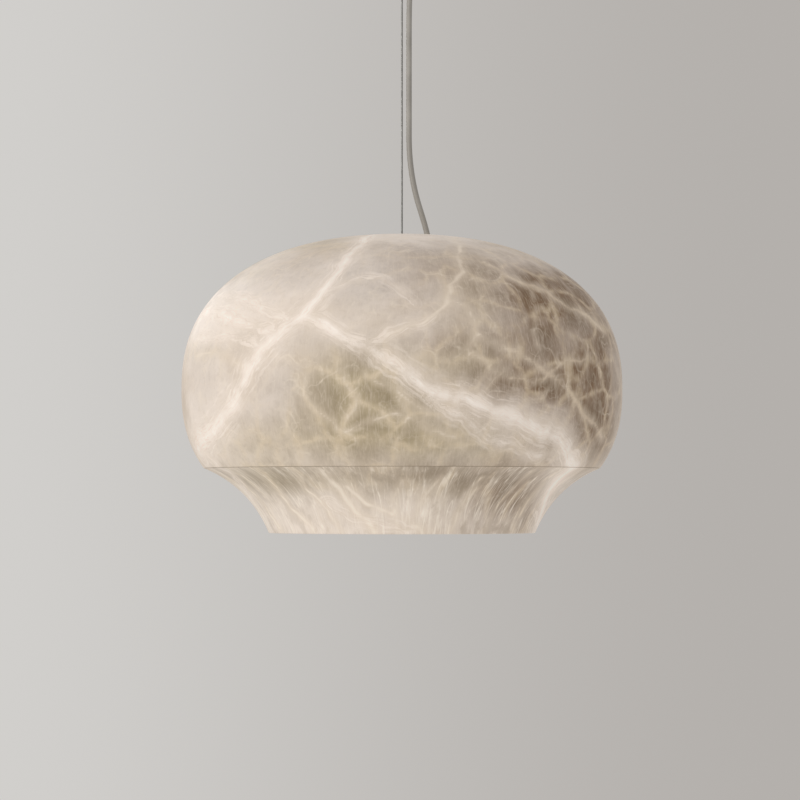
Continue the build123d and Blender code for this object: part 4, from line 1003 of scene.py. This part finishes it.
# %% A ribbed sleeve
SLEEVE_TOP_Z = -0.042
SLEEVE_WIDE, SLEEVE_NARROW, SLEEVE_BORE = 0.0046, 0.0037, 0.00296  # radii
RIBS = 9
RIB_DEPTH = 0.00045
share = np.linspace(0, 1, 20 * RIBS)
taper = SLEEVE_WIDE + (SLEEVE_NARROW - SLEEVE_WIDE) * share
ribs = taper - RIB_DEPTH * (np.sin(2 * pi * RIBS * share - pi / 2) * 0.5 + 0.5) ** 3
sleeve_z = SLEEVE_TOP_Z + (MOUTH_Z - SLEEVE_TOP_Z) * share
bore = [(SLEEVE_BORE, SLEEVE_TOP_Z), (SLEEVE_BORE, MOUTH_Z)]
sleeve_profile = np.vstack([np.c_[ribs, sleeve_z][::-1], bore])
sleeve = turned("flex_sleeve", sleeve_profile, around=64, centre=(GRIP_X, 0))
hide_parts("cord_sleeve")
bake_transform(sleeve)
print("sleeve volume", round(enclosed(sleeve) * 1e9), "mm3")

# %% [markdown]
# ## The gripper's spring
#
# Pushing the plunger up frees the wire, and a small coil spring sends it back. Steel wire keeps its
# thickness while a spring shortens, but over 3 mm that can't be seen. The coil is made as one piece.

# %% A coil of round wire
SPRING_TOP_Z, SPRING_LOW_Z = -0.050, -0.061
SPRING_RADIUS, SPRING_WIRE = 0.0034, 0.00025
SPRING_TURNS = 5


def coil(name, radius, wire, low, high, turns, steps=240, around=10):
    """A tube round a helix. A point at the turn t and at the angle a round the wire lies at the radius
    R + r cos(a) and at the height of the helix plus r sin(a)."""
    t = np.linspace(0, 2 * pi * turns, steps)[:, None]
    a = np.linspace(0, 2 * pi, around, endpoint=False)[None, :]
    reach = radius + wire * np.cos(a)
    z = low + wire + (high - low - 2 * wire) * t / t.max() + wire * np.sin(a)
    return skin(name, polar(reach, t, z), wrap_v=True, caps=True)


spring = coil("coil_spring", SPRING_RADIUS, SPRING_WIRE, SPRING_LOW_Z, SPRING_TOP_Z, SPRING_TURNS)
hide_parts("gripper_spring")
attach(spring, "ceiling_mount")
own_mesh(spring)

# %% [markdown]
# ## The bulb's thread
#
# A thread is a wave that climbs as it goes round: the radius at the angle t and the height z follows the
# cosine of 2 pi z / pitch + t. Cap and shell have the same pitch, so the bulb stays in its thread as it
# unscrews.

# %% A threaded tube
PITCH = 0.00363


def threaded(z, radius, depth, around=96, wall=None):
    """A tube between the heights in z. Its radius swings between radius - depth and radius, and runs out
    evenly at both ends. wall is how far in its other side lies, where that is a thread too."""
    t = np.linspace(0, 2 * pi, around, endpoint=False)[None, :]
    z = z[:, None]
    ends = np.clip(np.minimum(z - z.min(), z.max() - z) / (0.4 * PITCH), 0, 1)
    far = radius - depth * (0.5 - 0.5 * np.cos(2 * pi * z / PITCH + t)) * ends
    if wall is None:
        return polar(far, t, z)
    return np.concatenate([polar(far, t, z), polar(far - wall, t, z)[::-1]])


print("the thread climbs", PITCH, "m in a turn")

# %% The bulb's cap
CAP_TOP_Z, CAP_LOW_Z = -0.4891, -0.5101
CAP_RADIUS, CAP_THREAD, CAP_NECK_RADIUS = 0.0132, 0.0011, 0.0105
SHOULDER = 0.0030
ROW_GAP = 0.0001
CAP_ROWS, SHOULDER_ROWS = 90, 8
cap_z = np.linspace(CAP_LOW_Z, CAP_TOP_Z - SHOULDER - ROW_GAP, CAP_ROWS)
shoulder_z = np.linspace(CAP_TOP_Z - SHOULDER, CAP_TOP_Z, SHOULDER_ROWS)
shoulder = threaded(shoulder_z, CAP_RADIUS, 0.0)
shoulder[..., :2] *= np.linspace(1, CAP_NECK_RADIUS / CAP_RADIUS, SHOULDER_ROWS)[:, None, None]
cap_grid = np.concatenate([threaded(cap_z, CAP_RADIUS, CAP_THREAD), shoulder])
bulb_cap = skin("bulb_screw_cap", cap_grid, wrap_v=True, caps=True)
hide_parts("bulb_cap")
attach(bulb_cap, "bulb")
print("cap", round(enclosed(bulb_cap) * 1e6, 2), "ml")

# %% The holder's shell
SHELL_TOP_Z, SHELL_LOW_Z = -0.4811, -0.5031
SHELL_RADIUS, SHELL_THREAD, SHELL_WALL = 0.01455, 0.0006, 0.0004
FLANGE_RADIUS, FLANGE_BORE, FLANGE_THICK = 0.016, 0.0117, 0.0005
SHELL_ROWS = 100
flange_low_z = SHELL_TOP_Z - FLANGE_THICK
shell_z = np.linspace(SHELL_LOW_Z, flange_low_z - ROW_GAP, SHELL_ROWS)
shell_grid = threaded(shell_z, SHELL_RADIUS, SHELL_THREAD, wall=SHELL_WALL)
shell = skin("socket_shell", shell_grid, wrap_u=True, wrap_v=True)
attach(shell, "shade")
flange_profile = [
    (FLANGE_BORE, SHELL_TOP_Z), (FLANGE_BORE, flange_low_z), (FLANGE_RADIUS, flange_low_z),
    (FLANGE_RADIUS, SHELL_TOP_Z),
]
flange = turned("socket_flange", flange_profile, around=96)
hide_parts("screw_shell")
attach(flange, "shade")
print("shell", round(enclosed(shell) * 1e9), "mm3")

# %% [markdown]
# ## Finishes inside the lamp
#
# The pieces that carry the stone show from above or below, so each gets the finish it would have from its
# maker. A moulded plastic has the matt grain of its mould and a few scuffs. A metal keeps the lines of the
# tool that worked it, and those lines are a noise that is squeezed across them.


# %% Moulded and painted finishes
def moulded(name, dark, light, rough, grain=900.0, depth=0.00005, **constants):
    """The colour drifts slowly between two near tones. Scuffs darken it a little and make it less
    glossy."""
    made = Material(name)
    drift = made.start.noise(60, 3, 0.5).rise(0.35, 0.65)
    pits = made.start.noise(grain, 2, 0.6)
    scuffs = made.start.shaken(90, 0.004).noise(240, 4, 0.7).rise(0.56, 0.72)
    tone = made.colour(*dark).mix(made.colour(*light), drift)
    tone = tone.mix(made.colour(*(0.82 * c for c in dark)), scuffs * 0.35)
    return made.surface(height=pits, depth=depth, Base_Color=tone,
                        Roughness=pits * 0.1 + scuffs * 0.14 + rough, **constants)


def painted(name, dark, light, rough):
    """Powder paint melts into low waves, like the skin of an orange, with finer specks on them."""
    made = Material(name)
    waves = made.start.noise(420, 2, 0.5)
    specks = made.start.noise(1500, 2, 0.7)
    dust = made.start.shaken(30, 0.01).noise(36, 4, 0.6).rise(0.45, 0.7)
    tone = made.colour(*light).mix(made.colour(*dark), dust * 0.25 + specks.rise(0.55, 0.7) * 0.3)
    return made.surface(height=waves * 0.7 + specks * 0.3, depth=0.00012, Base_Color=tone,
                        Roughness=dust * 0.1 + specks * 0.12 + rough)


print("plastic and paint are ready")


# %% Worked metals
def worked(name, dark, light, rough, across, scale, tarnish):
    """Fine tool lines. across has a large number for the axis that runs across them, and scale sets how
    fine they are. Tarnish gathers in clouds."""
    made = Material(name)
    lines = made.start.stretched(*across).noise(scale, 3, 0.6)
    cloud = made.start.shaken(60, 0.004).noise(90, 4, 0.6).rise(0.42, 0.7)
    scratches = strands(made.start, 260, 0.012, 0.002)
    tone = made.colour(*light).mix(made.colour(*dark), cloud * tarnish + lines.rise(0.6, 0.35) * 0.4)
    return made.surface(height=lines - scratches * 0.4, depth=0.00003, Base_Color=tone, Metallic=1.0,
                        Roughness=lines * 0.16 + cloud * 0.12 + rough - 0.08)


def spangled(name, dark, light):
    """Zinc cools in crystals, so the plating is a patchwork of cells with slightly different tones."""
    made = Material(name)
    cells = made.start.shaken(300, 0.001)
    spangle = cells.node("ShaderNodeTexVoronoi", "Color", {"Vector": cells, "Scale": 420.0})
    shade = spangle.node("ShaderNodeSeparateColor", 0, {0: spangle})
    white_rust = made.start.noise(70, 5, 0.65).rise(0.55, 0.75)
    tone = made.colour(*dark).mix(made.colour(*light), shade)
    tone = tone.mix(made.colour(214, 214, 210), white_rust * 0.4)
    return made.surface(height=shade, depth=0.00004, Base_Color=tone, Metallic=1.0 - white_rust * 0.3,
                        Roughness=shade * 0.15 + white_rust * 0.25 + 0.28)


print("metals are ready")


# %% Rope and flex
def roped(name):
    """The strands are made of fine filaments, drawn out along the rope, and grime darkens it in clouds."""
    made = Material(name)
    filaments = made.start.stretched(1, 1, 0.35).noise(2600, 2, 0.6)
    grime = made.start.noise(160, 4, 0.6).rise(0.4, 0.7)
    dark = filaments.rise(0.6, 0.36) * 0.7 + grime * 0.25
    tone = made.colour(168, 167, 163).mix(made.colour(96, 94, 90), dark)
    return made.surface(height=filaments, depth=0.00008, Base_Color=tone, Metallic=0.85,
                        Roughness=filaments * 0.2 + grime * 0.15 + 0.26)


def sheathed(name, dark, light):
    """A flex is pressed out through a die, so faint lines run along it. Handling leaves it paler and duller
    in patches."""
    made = Material(name)
    lines = made.start.stretched(1, 1, 0.06).noise(1400, 2, 0.6)
    handled = made.start.noise(34, 4, 0.6).rise(0.4, 0.68)
    tone = made.colour(*dark).mix(made.colour(*light), handled * 0.6 + lines * 0.3)
    return made.surface(height=lines, depth=0.00005, Base_Color=tone,
                        Roughness=handled * 0.14 + lines * 0.1 + 0.34)


print("rope and flex are ready")

# %% A finish for each material
FINISHES = {
    "resin": moulded("seam_resin", (152, 135, 110), (171, 155, 130), 0.34, grain=300),
    "gasket_rubber": moulded("gasket_rubber", (24, 24, 25), (40, 39, 38), 0.62, grain=700, depth=0.0001),
    "zinc_steel": spangled("zinc_steel", (160, 163, 166), (205, 208, 210)),
    "canopy_paint": painted("canopy_paint", (204, 201, 195), (226, 223, 218), 0.46),
    "plate_paint": painted("plate_paint", (214, 211, 204), (232, 229, 222), 0.36),
    "nickel": worked("nickel", (150, 143, 134), (208, 203, 195), 0.22, (1, 1, 6), 420, 0.3),
    "ball_steel": worked("ball_steel", (150, 152, 154), (222, 223, 224), 0.12, (1, 1, 1), 300, 0.2),
    "spring_steel": worked("spring_steel", (88, 90, 94), (150, 152, 155), 0.32, (1, 1, 3), 600, 0.4),
    "wire_rope": roped("wire_rope"),
    "ball_end_steel": worked("ball_end_steel", (132, 132, 130), (190, 190, 186), 0.26, (1, 1, 4), 500, 0.3),
    "cord_jacket": sheathed("cord_jacket", (164, 159, 151), (188, 183, 175)),
    "clear_nylon": moulded("clear_nylon", (214, 214, 208), (235, 235, 230), 0.18, grain=500,
                           Transmission_Weight=0.55, IOR=1.5),
    "grey_nylon": moulded("grey_nylon", (146, 143, 137), (170, 167, 160), 0.42),
    "block_plastic": moulded("block_plastic", (214, 208, 194), (234, 229, 217), 0.38),
    "lead_sleeve": moulded("lead_sleeve", (196, 190, 178), (222, 216, 204), 0.55, grain=1600, depth=0.00008),
    "earth_brass": worked("brass", (142, 108, 54), (214, 178, 104), 0.24, (1, 1, 5), 450, 0.45),
    "holder_white": moulded("holder_white", (218, 215, 208), (236, 233, 227), 0.30, grain=800),
    "porcelain": moulded("porcelain", (222, 218, 208), (240, 237, 230), 0.12, grain=120, depth=0.0001,
                         Coat_Weight=0.6),
    "bulb_metal": worked("bulb_metal", (150, 150, 148), (212, 212, 209), 0.28, (1, 1, 5), 380, 0.35),
    "bulb_glass_black": moulded("bulb_glass_black", (14, 13, 14), (30, 28, 30), 0.10, grain=200,
                                depth=0.00006, Coat_Weight=0.5),
    "bulb_white": moulded("bulb_white", (222, 221, 216), (240, 239, 235), 0.34, grain=700),
}
print(len(FINISHES), "finishes")

# %% [markdown]
# ## The bulb's light
#
# The lamp is photographed in daylight with its bulb off or very low. The opal cover passes a little
# light, so it is given a faint warm glow of its own.

# %% An opal cover, and every piece gets its finish
opal = Material("opal_cover")
milk = opal.start.noise(80, 3, 0.5)
opal_tone = opal.colour(232, 228, 220).mix(opal.colour(246, 244, 239), milk.rise(0.35, 0.65))
dust_film = opal.start.noise(300, 4, 0.6).rise(0.5, 0.75)
FINISHES["bulb_diffuser"] = opal.surface(
    height=milk, depth=0.00005, Base_Color=opal_tone, Emission_Color=opal_tone, Emission_Strength=0.25,
    Roughness=dust_film * 0.2 + 0.32,
)
FINISHES["alabaster"] = upper_stone.data.materials[0]

for part in frame["record"]["subparts"]:
    frame["nodes"][part["node"]].material_slots[0].material = FINISHES[part["material_slot"]]

MADE_PIECES = {
    wire: "wire_rope", wire_coil: "wire_rope", flex: "cord_jacket", flex_coil: "cord_jacket",
    sleeve: "grey_nylon", spring: "spring_steel", bulb_cap: "bulb_metal",
    shell: "earth_brass", flange: "earth_brass",
}
for piece, slot in MADE_PIECES.items():
    dress(piece, FINISHES[slot])
